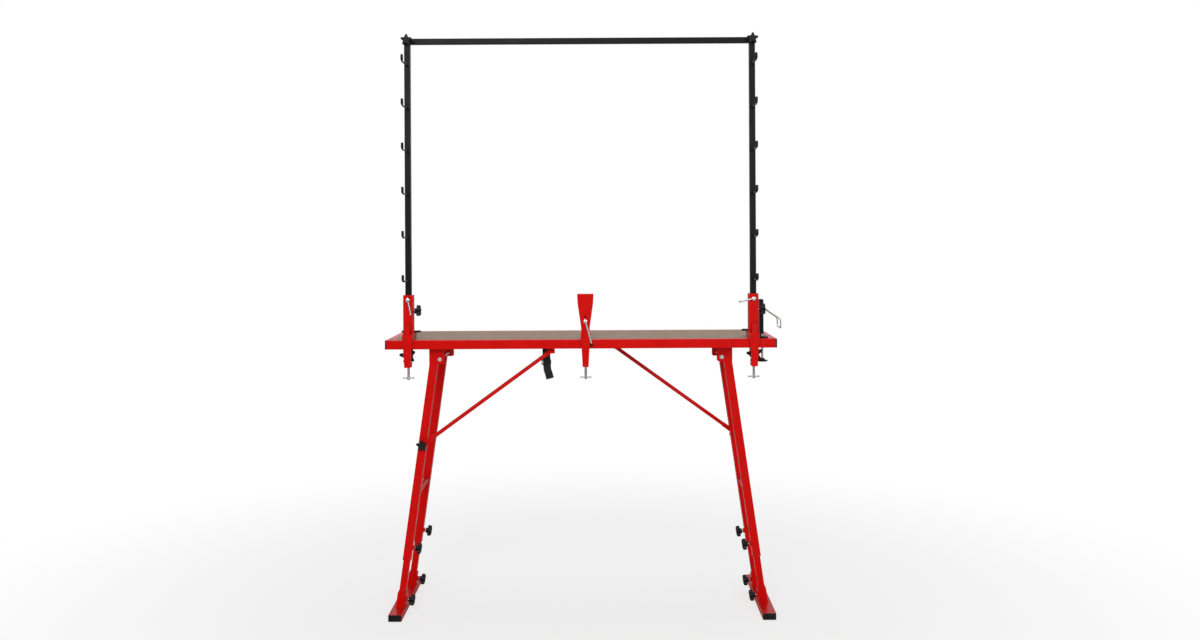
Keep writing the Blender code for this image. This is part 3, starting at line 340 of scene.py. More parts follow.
class Paintshop:
    """Makes the material of each finish and hands it out by slot."""

    cloud_size = 0.05
    brush_stretch = 0.06
    edge_mask_radius = 0.0012
    dust_colour: Colour = (0.72, 0.70, 0.68)

    def __init__(self) -> None:
        """Build the shared effects and every material."""
        self.effects = Effects()
        self.materials = {finish.slot: self._material(finish) for finish in FINISHES}

    @staticmethod
    def _effect(wiring: Wiring, group: bpy.types.NodeTree, *values: float) -> Sockets:
        """Put a shared effect in a material.

        Args:
            wiring: The material's wiring.
            group: The effect.
            values: Its inputs, in their order.

        Returns:
            Its outputs.
        """
        node = wiring.add("ShaderNodeGroup", node_tree=group)
        for socket, value in zip(node.inputs, values):
            socket.default_value = value
        return node.outputs

    @staticmethod
    def _mix(wiring: Wiring, mask: Source, *colours: Source | Colour) -> bpy.types.NodeSocket:
        """Blend two colours by a mask.

        Args:
            wiring: The material's wiring.
            mask: 0 where the first colour shows, 1 where the second does.
            colours: The two colours.

        Returns:
            The blend.
        """
        node = wiring.add("ShaderNodeMix", mask, data_type="RGBA")
        for label, colour in zip("AB", colours):
            socket = next(item for item in node.inputs if item.name == label and item.type == "RGBA")
            wiring.feed(socket, (*colour, 1.0) if isinstance(colour, tuple) else colour)
        return next(item for item in node.outputs if item.type == "RGBA")

    def _material(self, finish: Finish) -> bpy.types.Material:
        """Build one finish.

        Args:
            finish: What it looks like.

        Returns:
            The material.
        """
        material = bpy.data.materials.new(finish.slot.value)
        material.use_nodes = True
        wiring = Wiring(material.node_tree)
        shader = wiring.tree.nodes["Principled BSDF"].inputs
        shader["Metallic"].default_value = finish.metallic
        shader["Specular IOR Level"].default_value = finish.specular
        stretch = self.brush_stretch if finish.pattern is Pattern.BRUSHED else 1.0
        mottle = self._effect(wiring, self.effects.mottle, finish.grain_size, self.cloud_size, stretch)
        tone, height = mottle["Clouds"], mottle["Grain"]
        if finish.pattern in (Pattern.SPECKLED, Pattern.BRUSHED):
            tone = mottle["Grain"]
        # On the webbing the weave's height also picks the colour, so its hollows are painted darker as
        # painted shade.
        if finish.pattern is Pattern.WOVEN:
            tone = height = self._effect(wiring, self.effects.weave, finish.grain_size)["Height"]
        colour = self._mix(wiring, tone, finish.shade, finish.base)
        # The edge mask paints wear, and on the red a pale painted highlight along the edges.
        if finish.wear_and_highlight:
            worn_and_highlit = self._effect(wiring, self.effects.edge_wear, self.edge_mask_radius, finish.wear_and_highlight)["Mask"]
            colour = self._mix(wiring, worn_and_highlit, colour, finish.worn_and_highlit)
        if finish.dust:
            dusty = self._effect(wiring, self.effects.dust, finish.dust)["Mask"]
            colour = self._mix(wiring, dusty, colour, self.dust_colour)
        wiring.feed(shader["Base Color"], colour)
        rough = (finish.roughness - finish.spread / 2, finish.roughness + finish.spread / 2)
        wiring.feed(shader["Roughness"], wiring.ranged(mottle["Clouds"], (0.0, 1.0), rough))
        bump = wiring.add("ShaderNodeBump")
        wiring.feed(bump.inputs["Distance"], finish.grain_height)
        wiring.feed(bump.inputs["Height"], height)
        wiring.feed(shader["Normal"], bump.outputs["Normal"])
        return material


class Bench:
    """Turns shapes into finished pieces that ride on their CAD bodies."""

    def __init__(self, frame: dict) -> None:
        """Keep the frame, mix the finishes and set up the repeater.
        """
        self.nodes = frame["nodes"]
        self.materials = Paintshop().materials
        self.repeater = Repeater()
        self.slot_of = {row["node"]: Slot(row["material_slot"]) for row in frame["record"]["subparts"]}
        self.joint_of = {joint["child"]: joint for joint in frame["joints"]}

    def finish(self, name: str, shape: Shape, slot: Slot, body: str, stands_for: Sequence[str] = (),
               sharp: float = 38.0) -> bpy.types.Object:
        """Make an object of a shape, paint it and hang it on its body.

        Args:
            name: The piece's name.
            shape: Its mesh, in the frame; it is used up.
            slot: Its finish.
            body: The CAD body it rides on.
            stands_for: The CAD nodes it replaces.
            sharp: The angle in degrees above which an edge stays sharp.

        Returns:
            The piece.
        """
        mesh = bpy.data.meshes.new(name)
        shape.to_mesh(mesh)
        shape.free()
        mesh.materials.append(self.materials[slot])
        mesh.shade_smooth()
        mesh.set_sharp_from_angle(angle=math.radians(sharp))
        piece = bpy.data.objects.new(name, mesh)
        bpy.context.scene.collection.objects.link(piece)
        shading = piece.modifiers.new("flat_faces_first", "WEIGHTED_NORMAL")
        shading.keep_sharp = True
        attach(piece, body)
        if stands_for:
            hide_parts(*stands_for)
        LOG.info("%s: %d faces on %s", name, len(mesh.polygons), body)
        return piece


def rings_shape(rings: Sequence[Sequence[Vector]], closed: bool = False) -> Shape:
    """Skin a row of rings.

    Args:
        rings: Rings of equal point counts.
        closed: Whether the last ring joins the first instead of both being capped.

    Returns:
        The closed shape.
    """
    shape = bmesh.new()
    rows = [[shape.verts.new(point) for point in ring] for ring in rings]
    pairs = list(zip(rows, rows[1:]))
    if closed:
        pairs.append((rows[-1], rows[0]))
    count = len(rows[0])
    for low, high in pairs:
        for index in range(count):
            after = (index + 1) % count
            shape.faces.new((low[index], low[after], high[after], high[index]))
    if not closed:
        shape.faces.new(rows[0])
        shape.faces.new(rows[-1])
    bmesh.ops.recalc_face_normals(shape, faces=shape.faces)
    return shape


def circle(radius: float | Callable[[int], float], height: float, count: int) -> list[Vector]:
    """Points of a level ring.

    Args:
        radius: Its radius, or a function of the point's number.
        height: How high it lies.
        count: How many points it has.

    Returns:
        The points.
    """
    points = []
    for index in range(count):
        turn = 2 * math.pi / count * index
        size = radius(index) if callable(radius) else radius
        points.append(Vector((size * math.cos(turn), size * math.sin(turn), height)))
    return points


def turned(profile: Pairs, count: int = 32) -> Shape:
    """Turn a profile of radii and heights about +Z."""
    return rings_shape([circle(radius, height, count) for radius, height in profile])


def hexagon(across: float, low: float, high: float, chamfer: float) -> Shape:
    """A hexagonal head or nut along +Z.

    Args:
        across: Its width across the flats.
        low: Where it starts.
        high: Where it ends.
        chamfer: How far its two end edges are drawn in.

    Returns:
        The shape.
    """
    reach = across / math.sqrt(3)
    inner = reach - chamfer
    return turned(((inner, low), (reach, low + chamfer), (reach, high - chamfer), (inner, high)), 6)


def wire(points: Sequence[Vector], radius: float | Callable[[float], float], count: int = 10,
         closed: bool = False) -> Shape:
    """Sweep a round section along a path.

    Args:
        points: The path.
        radius: The section's radius, or a function of the share of the path.
        count: Points round.
        closed: Whether the path is a loop.

    Returns:
        The shape.
    """
    total = len(points)
    side: Vector | None = None
    rings = []
    for index, point in enumerate(points):
        before = points[index - 1] if closed or index else point
        after = points[(index + 1) % total] if closed or index + 1 < total else point
        tangent = (after - before).normalized()
        if side is None:
            start = Vector((0, 0, 1)) if abs(tangent.z) < 0.9 else Vector((1, 0, 0))
            side = tangent.cross(start).normalized()
        side = (side - tangent * side.dot(tangent)).normalized()
        other = tangent.cross(side)
        size = radius(index / (total - 1)) if callable(radius) else radius
        rings.append([point + side * spot.x + other * spot.y for spot in circle(size, 0.0, count)])
    return rings_shape(rings, closed)


def rounded_path(corners: Sequence[Point], radius: float, steps: int = 6) -> list[Vector]:
    """Round the corners of a path.

    Args:
        corners: The path's corners.
        radius: The bend's reach from each corner.
        steps: Points in each bend.

    Returns:
        The path's points.
    """
    path = [Vector(corner) for corner in corners]
    points = [path[0]]
    for before, corner, after in zip(path, path[1:], path[2:]):
        reach = min(radius, (before - corner).length / 2.2, (after - corner).length / 2.2)
        start = corner + (before - corner).normalized() * reach
        end = corner + (after - corner).normalized() * reach
        for step in range(steps + 1):
            share = step / steps
            points.append(start * (1 - share) ** 2 + corner * 2 * share * (1 - share) + end * share ** 2)
    return points + [path[-1]]


def bead(corners: Sequence[Vector], size: float) -> Shape:
    """A weld bead round a loop, with its ripples.

    Args:
        corners: The loop's corners.
        size: The bead's half width.

    Returns:
        The shape.
    """
    sides = 6
    points: list[Vector] = []
    for start, end in zip(corners, [*corners[1:], corners[0]]):
        count = max(2, round((end - start).length / (size * 0.55)))
        points += [start.lerp(end, step / count) for step in range(count)]
    shape = wire(points, size, sides, closed=True)
    for index, vertex in enumerate(shape.verts):
        ring = index // sides
        vertex.co = points[ring] + (vertex.co - points[ring]) * (1.0 + 0.16 * math.sin(ring * 2.1))
    return shape


def merged(*shapes: Shape) -> Shape:
    """Gather shapes in one mesh.

    Args:
        shapes: The shapes; they are used up.

    Returns:
        The mesh that holds them all.
    """
    whole = bmesh.new()
    for shape in shapes:
        mesh = bpy.data.meshes.new("gathered")
        shape.to_mesh(mesh)
        shape.free()
        whole.from_mesh(mesh)
        bpy.data.meshes.remove(mesh)
    return whole


def placed(shape: Shape, matrix: Matrix) -> Shape:
    """Move a shape by a matrix and hand it back."""
    bmesh.ops.transform(shape, matrix=matrix, verts=shape.verts)
    return shape


def moved(shape: Shape, x: float = 0.0, y: float = 0.0, z: float = 0.0) -> Shape:
    """Shift a shape and hand it back."""
    return placed(shape, Matrix.Translation((x, y, z)))


def set_down(shape: Shape, origin: Sequence[float], axis: Sequence[float], roll: float = 0.0) -> Shape:
    """Move a shape so that its +Z points along an axis from an origin.

    Args:
        shape: The shape.
        origin: Where its own origin goes.
        axis: Where its +Z points.
        roll: How far it turns about that axis first, in radians.

    Returns:
        The same shape.
    """
    turn = Vector(axis).to_track_quat("Z", "Y").to_matrix().to_4x4()
    return placed(shape, Matrix.Translation(Vector(origin)) @ turn @ Matrix.Rotation(roll, 4, "Z"))


class Repeater:
    """Geometry Nodes that set equal copies of a small shape in a straight row."""

    def __init__(self) -> None:
        """Build the tree once."""
        self.tree = bpy.data.node_groups.new("row_of_copies", "GeometryNodeTree")
        for label, kind in (
            ("Copies", "Int"), ("Step", "Vector"), ("Start", "Vector"),
            ("Shape", "Object"), ("Finish", "Material"),
        ):
            self.tree.interface.new_socket(label, in_out="INPUT", socket_type=f"NodeSocket{kind}")
        self.tree.interface.new_socket("Geometry", in_out="OUTPUT", socket_type="NodeSocketGeometry")
        wiring = Wiring(self.tree)
        start, end = wiring.add("NodeGroupInput").outputs, wiring.add("NodeGroupOutput")
        line, source, spread, real, paint = (wiring.add(f"GeometryNode{kind}") for kind in (
            "MeshLine", "ObjectInfo", "InstanceOnPoints", "RealizeInstances", "SetMaterial"))
        wiring.feeds(line, {
            "Count": start["Copies"], "Offset": start["Step"], "Start Location": start["Start"]})
        wiring.feeds(source, {"Object": start["Shape"]})
        wiring.feeds(spread, {"Points": line.outputs["Mesh"], "Instance": source.outputs["Geometry"]})
        wiring.feeds(real, {"Geometry": spread.outputs["Instances"]})
        wiring.feeds(paint, {"Geometry": real.outputs["Geometry"], "Material": start["Finish"]})
        wiring.feeds(end, {"Geometry": paint.outputs["Geometry"]})

    def row(self, shape: Shape, copies: int, start: Sequence[float], step: Sequence[float],
            material: bpy.types.Material) -> Shape:
        """Set copies of a shape in a row.

        Args:
            shape: The shape, about its own origin; it is used up.
            copies: How many.
            start: Where the first goes.
            step: From one to the next.
            material: Their finish.

        Returns:
            All the copies as one plain mesh.
        """
        mesh = bpy.data.meshes.new("row_source")
        shape.to_mesh(mesh)
        shape.free()
        source = bpy.data.objects.new("row_source", mesh)
        carrier = bpy.data.objects.new("row_carrier", bpy.data.meshes.new("row_carrier"))
        for item in (source, carrier):
            bpy.context.scene.collection.objects.link(item)
        modifier = carrier.modifiers.new("Row", "NODES")
        modifier.node_group = self.tree
        values = {
            "Copies": copies, "Step": tuple(step), "Start": tuple(start), "Shape": source, "Finish": material}
        for item in self.tree.interface.items_tree:
            if item.in_out == "INPUT":
                modifier[item.identifier] = values[item.name]
        bpy.context.view_layer.update()
        plain = bpy.data.meshes.new_from_object(carrier.evaluated_get(bpy.context.evaluated_depsgraph_get()))
        made = bmesh.new()
        made.from_mesh(plain)
        bpy.data.meshes.remove(plain)
        for item in (carrier, source):
            data = item.data
            bpy.data.objects.remove(item)
            bpy.data.meshes.remove(data)
        return made


def rounded_rectangle(width: float, depth: float, corner: float, steps: int = 4) -> list[Span]:
    """Points of a rectangle with round corners, about the origin.

    Args:
        width: Its size along X.
        depth: Its size along Y.
        corner: The radius of its corners.
        steps: Straight pieces in each corner.

    Returns:
        The points.
    """
    points = []
    a, b = width / 2 - corner, depth / 2 - corner
    for quarter, (sx, sy) in enumerate(((1, 1), (-1, 1), (-1, -1), (1, -1))):
        for step in range(steps + 1):
            turn = math.pi / 2 * (quarter + step / steps)
            points.append((sx * a + corner * math.cos(turn), sy * b + corner * math.sin(turn)))
    return points


def stacked(width: float, depth: float, rows: Iterable[Point], closed: bool = False) -> Shape:
    """Skin level rounded rectangles that lie one above another.

    Args:
        width: The size along X of the outermost.
        depth: The size along Y of the outermost.
        rows: For each how far it is drawn in, how high it lies, and its corner radius.
        closed: Whether the last joins the first instead of both being capped.

    Returns:
        The shape.
    """
    rings = []
    for drawn, height, corner in rows:
        outline = rounded_rectangle(width - 2 * drawn, depth - 2 * drawn, corner)
        rings.append([Vector((x, y, height)) for x, y in outline])
    return rings_shape(rings, closed)


def plate(width: float, depth: float, low: float, high: float, corner: float, rim: float) -> Shape:
    """A plate with round corners and a rounded rim.

    Args:
        width: Its size along X.
        depth: Its size along Y.
        low: Its underside.
        high: Its top.
        corner: The radius of its corners, seen from above.
        rim: The rounding of its upper and lower edges.

    Returns:
        The shape.
    """
    turns = [math.radians(angle) for angle in (0, 45, 90)]
    rows = [(rim * (1 - math.sin(turn)), low + rim * (1 - math.cos(turn))) for turn in turns]
    rows += [(drawn, low + high - height) for drawn, height in reversed(rows)]
    return stacked(width, depth, [(drawn, height, max(corner - drawn, 0.0001)) for drawn, height in rows])


def square_tube(width: float, depth: float, wall: float, low: float, high: float, corner: float) -> Shape:
    """A hollow tube along +Z with round corners and broken end edges.

    Args:
        width: Its size along X.
        depth: Its size along Y.
        wall: Its wall thickness.
        low: Its lower end.
        high: Its upper end.
        corner: The outer corner radius.

    Returns:
        The shape.
    """
    edge = wall * 0.25
    inner = max(corner - wall, 0.0004)
    rows = (
        (edge, low, corner), (0.0, low + edge, corner), (0.0, high - edge, corner), (edge, high, corner),
        (wall, high, inner), (wall, low, inner))
    return stacked(width, depth, rows, closed=True)


class Slab(NamedTuple):
    """What plate() takes, in its order, in metres."""

    width: float
    depth: float
    low: float
    high: float
    corner: float
    rim: float


@dataclass(frozen=True)
class EndCap:
    """A cap that plugs a tube's end: a rounded face with a raised lens, and the plug behind it; in metres."""

    width: float
    depth: float
    thickness: float
    corner: float
    rim: float
    lens_margins: Span
    lens_sunk: float
    plug_gap: float
    plug_length: float

    def shape(self) -> Shape:
        """Make the cap.

        Returns:
            The shape, its outer face towards +Z.
        """
        face = plate(self.width, self.depth, 0.0, self.thickness, self.corner, self.rim)
        lens = plate(self.width - self.lens_margins[0], self.depth - self.lens_margins[1],
                     self.thickness - self.lens_sunk, self.thickness + 0.0004, 0.002, 0.0002)
        plug = plate(self.width - self.plug_gap, self.depth - self.plug_gap,
                     -self.plug_length, 0.0006, 0.001, 0.0003)
        return merged(face, lens, plug)


@dataclass(frozen=True)
class Thread:
    """The ridges of a screw thread, in metres."""

    root: float
    crest: float
    half_ridge: float
    pitch: float
    sides: int


@dataclass
class Assembly:
    """A group of pieces that are made and fitted together."""

    bench: Bench

    def keep(self, *nodes: str) -> None:
        """Show CAD nodes as they are, in their finish.

        Args:
            nodes: Their names.
        """
        for node in nodes:
            piece = self.bench.nodes[node]
            slot = self.bench.slot_of[node]
            piece.data.materials.clear()
            piece.data.materials.append(self.bench.materials[slot])

    def copies(self, shape: Shape, slot: Slot, count: int, start: Sequence[float],
               step: Sequence[float]) -> Shape:
        """Copies of a small shape in a straight row, from a start and by a step, as one mesh."""
        return self.bench.repeater.row(shape, count, start, step, self.bench.materials[slot])

    def threaded(self, thread: Thread, count: int, start: float) -> Shape:
        """Stack the ridges of a thread along +Z.

        Args:
            thread: The thread.
            count: How many ridges.
            start: How high the first one lies.

        Returns:
            The ridges in one mesh.
        """
        rim = ((thread.root, -thread.half_ridge), (thread.crest, 0.0), (thread.root, thread.half_ridge))
        return self.copies(turned(rim, thread.sides), Slot.ZINC, count, (0, 0, start), (0, 0, thread.pitch))


@dataclass
class StarKnob(Assembly):
    """The five-lobed clamping knobs with their threaded studs."""

    lobes: int = 5
    points: int = 60
    tip_radius: float = 0.018
    valley_radius: float = 0.0104
    lobe_power: float = 1.25
    hub_radius: float = 0.0085
    widest_stem: float = 0.013
    head_height: float = 0.013
    hub_height: float = 0.006
    stud_radius: float = 0.003
    thread: Thread = Thread(0.0028, 0.0032, 0.0004, 0.001, 20)
    rims: Pairs = (
        (0.80, 0.02), (0.92, 0.06), (0.975, 0.14), (1.0, 0.26), (1.0, 0.66), (0.985, 0.78), (0.94, 0.89),
        (0.87, 0.96), (0.79, 1.0))
    dish: Pairs = (
        (0.0074, 1.0), (0.0068, 0.98), (0.0062, 0.91), (0.0054, 0.885), (0.0046, 0.88), (0.0034, 0.88))

    def lobed(self, scale: float, height: float) -> list[Vector]:
        """One lobed ring of the head.

        Args:
            scale: Its size as a share of the full head.
            height: How high it lies.

        Returns:
            Its points.
        """
        depth = self.tip_radius - self.valley_radius

        def radius(index: int) -> float:
            """The head's radius at one point of the ring."""
            swing = (1 + math.cos(self.lobes * 2 * math.pi * index / self.points)) / 2
            return (self.valley_radius + depth * swing ** self.lobe_power) * scale

        return circle(radius, height, self.points)

    def grip(self) -> Shape:
        """The moulded head: lobes with round edges, and a dished top with a pressed-in cap.

        Returns:
            The shape, its hub's foot at zero.
        """
        hub, base = self.hub_radius, self.hub_height
        foot = ((hub * 0.90, 0.0003), (hub, 0.0010), (hub, base - 0.0006), (hub + 0.0006, base))
        rings = [circle(radius, height, self.points) for radius, height in foot]
        rings += [self.lobed(scale, base + self.head_height * share) for scale, share in self.rims]
        rings += [circle(radius, base + self.head_height * share, self.points) for radius, share in self.dish]
        return rings_shape(rings)

    def stud(self, length: float, end: float) -> Shape:
        """The threaded stud, from zero up into the head.

        Args:
            length: Where it enters the hub.
            end: How high the knob's top is.

        Returns:
            The shape.
        """
        radius = self.stud_radius
        rod = turned(((radius - 0.0006, 0.0), (radius, 0.0006), (radius, length), (radius, end - 0.0020),
                      (0.0024, end - 0.0016)), 24)
        turns = max(1, int((length - 0.002) / self.thread.pitch))
        return merged(rod, self.threaded(self.thread, turns, 0.0012))

    def stretch(self, body: str) -> tuple[Vector, Vector, float, float]:
        """Find out how a knob lies, from its joint and its CAD node.

        Args:
            body: The knob's body, which is also the name of its CAD node.

        Returns:
            Its centre, its axis towards the head, and where it starts and ends along that axis.
        """
        joint = self.bench.joint_of[body]
        centre, axis = Vector(joint["pos_m"]), Vector(joint["axis"]).normalized()
        offsets = [vertex.co - centre for vertex in self.bench.nodes[body].data.vertices]
        alongs = [offset.dot(axis) for offset in offsets]
        head = [at for at, offset in zip(alongs, offsets) if (offset - axis * at).length > self.widest_stem]
        low, high = min(alongs), max(alongs)
        if sum(head) / len(head) < (low + high) / 2:
            return centre, -axis, -high, -low
        return centre, axis, low, high

    def build(self, body: str) -> None:
        """Make the knob of one body.

        Args:
            body: The knob's body, which is also the name of its CAD node.
        """
        centre, axis, low, high = self.stretch(body)
        foot = high - self.head_height - self.hub_height
        grip = set_down(self.grip(), centre + axis * foot, axis, 0.3)
        self.bench.finish(f"{body}_grip", grip, Slot.PLASTIC, body, (body,), sharp=50)
        stud = set_down(self.stud(foot + 0.002 - low, high - low), centre + axis * low, axis)
        self.bench.finish(f"{body}_stud", stud, Slot.ZINC, body, sharp=50)


@dataclass
class TableTop(Assembly):
    """The board between its two tubular rails, the end caps, and what is screwed under the board."""

    length: float = 1.192
    board_depth: float = 0.2994
    strip_width: float = 0.020
    strip_thickness: float = 0.0010
    rail_depth: float = 0.025
    rail_height: float = 0.028
    rail_wall: float = 0.0018
    rail_corner: float = 0.0028
    rail_y: float = 0.1625
    rail_z: float = 0.8355
    end_play: float = 0.0003
    cap: EndCap = EndCap(
        width=0.025, depth=0.028, thickness=0.0037, corner=0.0028, rim=0.0012, lens_margins=(0.009, 0.009),
        lens_sunk=0.0004, plug_gap=0.0042, plug_length=0.014)
    bracket_thickness: float = 0.0028
    screw_front: float = -0.060
    screw_pitch: float = 0.040
    pan_head: Pairs = (
        (0.0046, 0.0), (0.0047, -0.0006), (0.0041, -0.0016), (0.0026, -0.0022), (0.0022, -0.0022),
        (0.0014, -0.0014))
    axle_radius: float = 0.004
    washer: Pairs = ((0.0063, 0.0), (0.0066, 0.0003), (0.0066, 0.0008), (0.0063, 0.0011))
    nut_across: float = 0.0118
    nut_height: float = 0.0034
    dome: Pairs = ((0.0032, -0.0002), (0.0026, 0.0006), (0.0012, 0.0010))

    def board(self) -> None:
        """The laminated board, with its rounded edge."""
        shape = plate(self.length, self.board_depth, BOARD_BOTTOM, TABLE_HEIGHT, 0.0015, 0.0012)
        self.bench.finish("laminated_board", shape, Slot.LAMINATE, "table", ("top_board",))

    def end_strips(self) -> None:
        """The red channels that close the two ends of the board."""
        reach = self.board_depth - 0.0010
        top = TABLE_HEIGHT
        for side in SIDES:
            flange = plate(self.strip_width, reach, top - 0.0004, top + 0.00025, 0.0006, 0.0002)
            moved(flange, side.sign * (self.length / 2 - self.strip_width / 2 + 0.0004))
            wall = plate(self.strip_thickness, reach, BOARD_BOTTOM + 0.0004, top + 0.0001, 0.0003, 0.0002)
            moved(wall, side.sign * (self.length / 2 + self.end_play))
            self.bench.finish(f"{side.name}_board_end_strip", merged(flange, wall), Slot.RED, "table")

    def rails(self) -> None:
        """The two rails and the four caps in their ends."""
        half, wall = self.length / 2, self.rail_wall
        for name, y in (("front_rail", -self.rail_y), ("rear_rail", self.rail_y)):
            tube = square_tube(self.rail_height, self.rail_depth, wall, -half, half, self.rail_corner)
            placed(tube, Matrix.Translation((0, y, self.rail_z)) @ Matrix.Rotation(math.pi / 2, 4, "Y"))
            self.bench.finish(f"{name}_tube", tube, Slot.RED, "table", (name,))
            for side in SIDES:
                end, label = side.sign, f"{name}_{side.name}"
                cap = set_down(self.cap.shape(), (end * (half + self.end_play), y, self.rail_z), (end, 0, 0))
                self.bench.finish(f"{label}_end_cap", cap, Slot.PLASTIC, "table", (f"{label}_cap",))

    def axle(self, half: float) -> Shape:
        """A leg's axle along +Z, with a nut and a washer at each end and a domed rivet head.

        Args:
            half: Half its length.

        Returns:
            The shape.
        """
        bar = turned(((self.axle_radius, -half + 0.004), (self.axle_radius, half - 0.004)), 24)
        washers = [moved(turned(self.washer, 28), z=at) for at in (-half + 0.0030, half - 0.0041)]
        nuts = [hexagon(self.nut_across, low, low + self.nut_height, 0.0005)
                for low in (-half - 0.0002, half - 0.0032)]
        return merged(bar, *washers, *nuts, moved(turned(self.dome, 20), z=half))

    def underside(self) -> None:
        """The hinge brackets, axles, brace anchors, and the screws that hold them."""
        for hand in (side.name for side in SIDES):
            self.keep(f"{hand}_hinge_bracket", f"{hand}_brace_anchor")
            low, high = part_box(f"{hand}_hinge_bracket")
            start = ((low.x + high.x) / 2, self.screw_front, BOARD_BOTTOM - self.bracket_thickness)
            row = self.copies(turned(self.pan_head, 16), Slot.ZINC, 4, start, (0, self.screw_pitch, 0))
            self.bench.finish(f"{hand}_bracket_screws", row, Slot.ZINC, "table", sharp=40)
            low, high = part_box(f"{hand}_leg_axle")
            shape = set_down(self.axle(high.y), ((low.x + high.x) / 2, 0, (low.z + high.z) / 2), (0, 1, 0))
            self.bench.finish(f"{hand}_axle_bolt", shape, Slot.ZINC, "table", (f"{hand}_leg_axle",), sharp=30)

    def build(self) -> None:
        """Make the whole table top."""
        self.board()
        self.end_strips()
        self.rails()
        self.underside()


@dataclass
class LegFrame(Assembly):
    """One folding leg frame with its welds, the telescoping inner tubes and the foot bar."""

    side: Side
    tube: float = 0.025
    pivot: Span = (0.438, 0.786)
    tube_offset: float = 0.018
    crossbar_down: float = 0.425
    crossbar_radius: float = 0.0101
    bead_size: float = 0.0013
    bead_lift: float = 0.0003
    ring_down: float = 0.629
    ring_width: float = 0.0262
    ring_wall: float = 0.0028
    ring_span: Span = (-0.0032, 0.0012)
    ring_corner: float = 0.0030
    foot_x: float = 0.5680
    foot_reach: float = 0.2073
    foot_height: float = 0.020
    socket_x: float = 0.5650
    socket: Span = (0.0288, 0.0282)
    cap: EndCap = EndCap(
        width=0.040, depth=0.020, thickness=0.0027, corner=0.003, rim=0.0010, lens_margins=(0.010, 0.008),
        lens_sunk=0.0003, plug_gap=0.0046, plug_length=0.016)

    def on_leg(self, across: float, y: float, down: float) -> Vector:
        """A point on the leg frame.

        Args:
            across: How far outboard of the tubes' centre line it is.
            y: Its place across the table.
            down: How far below the pivot it is, along the leg.

        Returns:
            The point.
        """
        reach = self.tube_offset + across
        x = self.pivot[0] + reach * math.cos(SPLAY) + down * math.sin(SPLAY)
        z = self.pivot[1] + reach * math.sin(SPLAY) - down * math.cos(SPLAY)
        return Vector((self.side.sign * x, y, z))

    def crossbar_welds(self) -> None:
        """The weld beads where the round crossbar meets the two tubes."""
        reach = self.side.frame_depth / 2 - self.tube - self.bead_lift
        beads = []
        for end in (-1, 1):
            spots = circle(self.crossbar_radius, 0.0, 16)
            ring = [self.on_leg(spot.x, end * reach, self.crossbar_down + spot.y) for spot in spots]
            beads.append(bead(ring, self.bead_size))
        name = self.side.name
        self.bench.finish(f"{name}_crossbar_welds", merged(*beads), Slot.RED, f"{name}_leg", sharp=70)

    def collars(self) -> None:
        """The rolled end rings on the lower ends of the outer tubes, round the inner tubes."""
        name, width = self.side.name, self.ring_width
        half = self.side.frame_depth / 2 - self.tube / 2
        turn = Matrix.Rotation(-self.side.sign * SPLAY, 4, "Y")
        for label, y in (("front", -half), ("rear", half)):
            rim = square_tube(width, width, self.ring_wall, *self.ring_span, self.ring_corner)
            placed(rim, Matrix.Translation(self.on_leg(0, y, self.ring_down)) @ turn)
            self.bench.finish(f"{name}_{label}_tube_end_ring", rim, Slot.RED, f"{name}_leg")

    def foot(self) -> None:
        """The foot bar's end caps and the welds round its two sockets."""
        name, sign = self.side.name, self.side.sign
        for end, label in ((-1, "front"), (1, "rear")):
            origin = (sign * self.foot_x, end * self.foot_reach, self.foot_height / 2)
            cap = set_down(self.cap.shape(), origin, (0, end, 0))
            node = f"{name}_{label}_foot_cap"
            self.bench.finish(f"{name}_{label}_foot_end", cap, Slot.PLASTIC, f"{name}_foot", (node,))
        half = self.side.frame_depth / 2 - self.tube / 2
        beads = []
        for y in (-half, half):
            outline = rounded_rectangle(*self.socket, 0.002, 2)
            ring = [Vector((sign * self.socket_x + u, y + v, self.foot_height + 0.0002)) for u, v in outline]
            beads.append(bead(ring, self.bead_size))
        self.bench.finish(f"{name}_socket_welds", merged(*beads), Slot.RED, f"{name}_foot", sharp=70)

    def build(self) -> None:
        """Make the leg frame and its foot."""
        kept = ("leg_frame", "foot_bar", "front_inner_tube", "rear_inner_tube", "brace")
        self.keep(*(f"{self.side.name}_{part}" for part in kept))
        self.crossbar_welds()
        self.collars()
        self.foot()


@dataclass(frozen=True)
class Lever:
    """A clamp lever seen from the front: its bolt's place, its rod and the ball on it; metres and degrees."""

    name: str
    node: str
    x: float
    z: float
    angle: float
    length: float
    ball: float
    tip: Slot = Slot.ZINC


def towards_back(x: float, z: float) -> Matrix:
    """The matrix that turns what is made along +Z to +Y, at a place seen from the front."""
    return Matrix.Translation((x, 0, z)) @ Matrix.Rotation(-math.pi / 2, 4, "X")


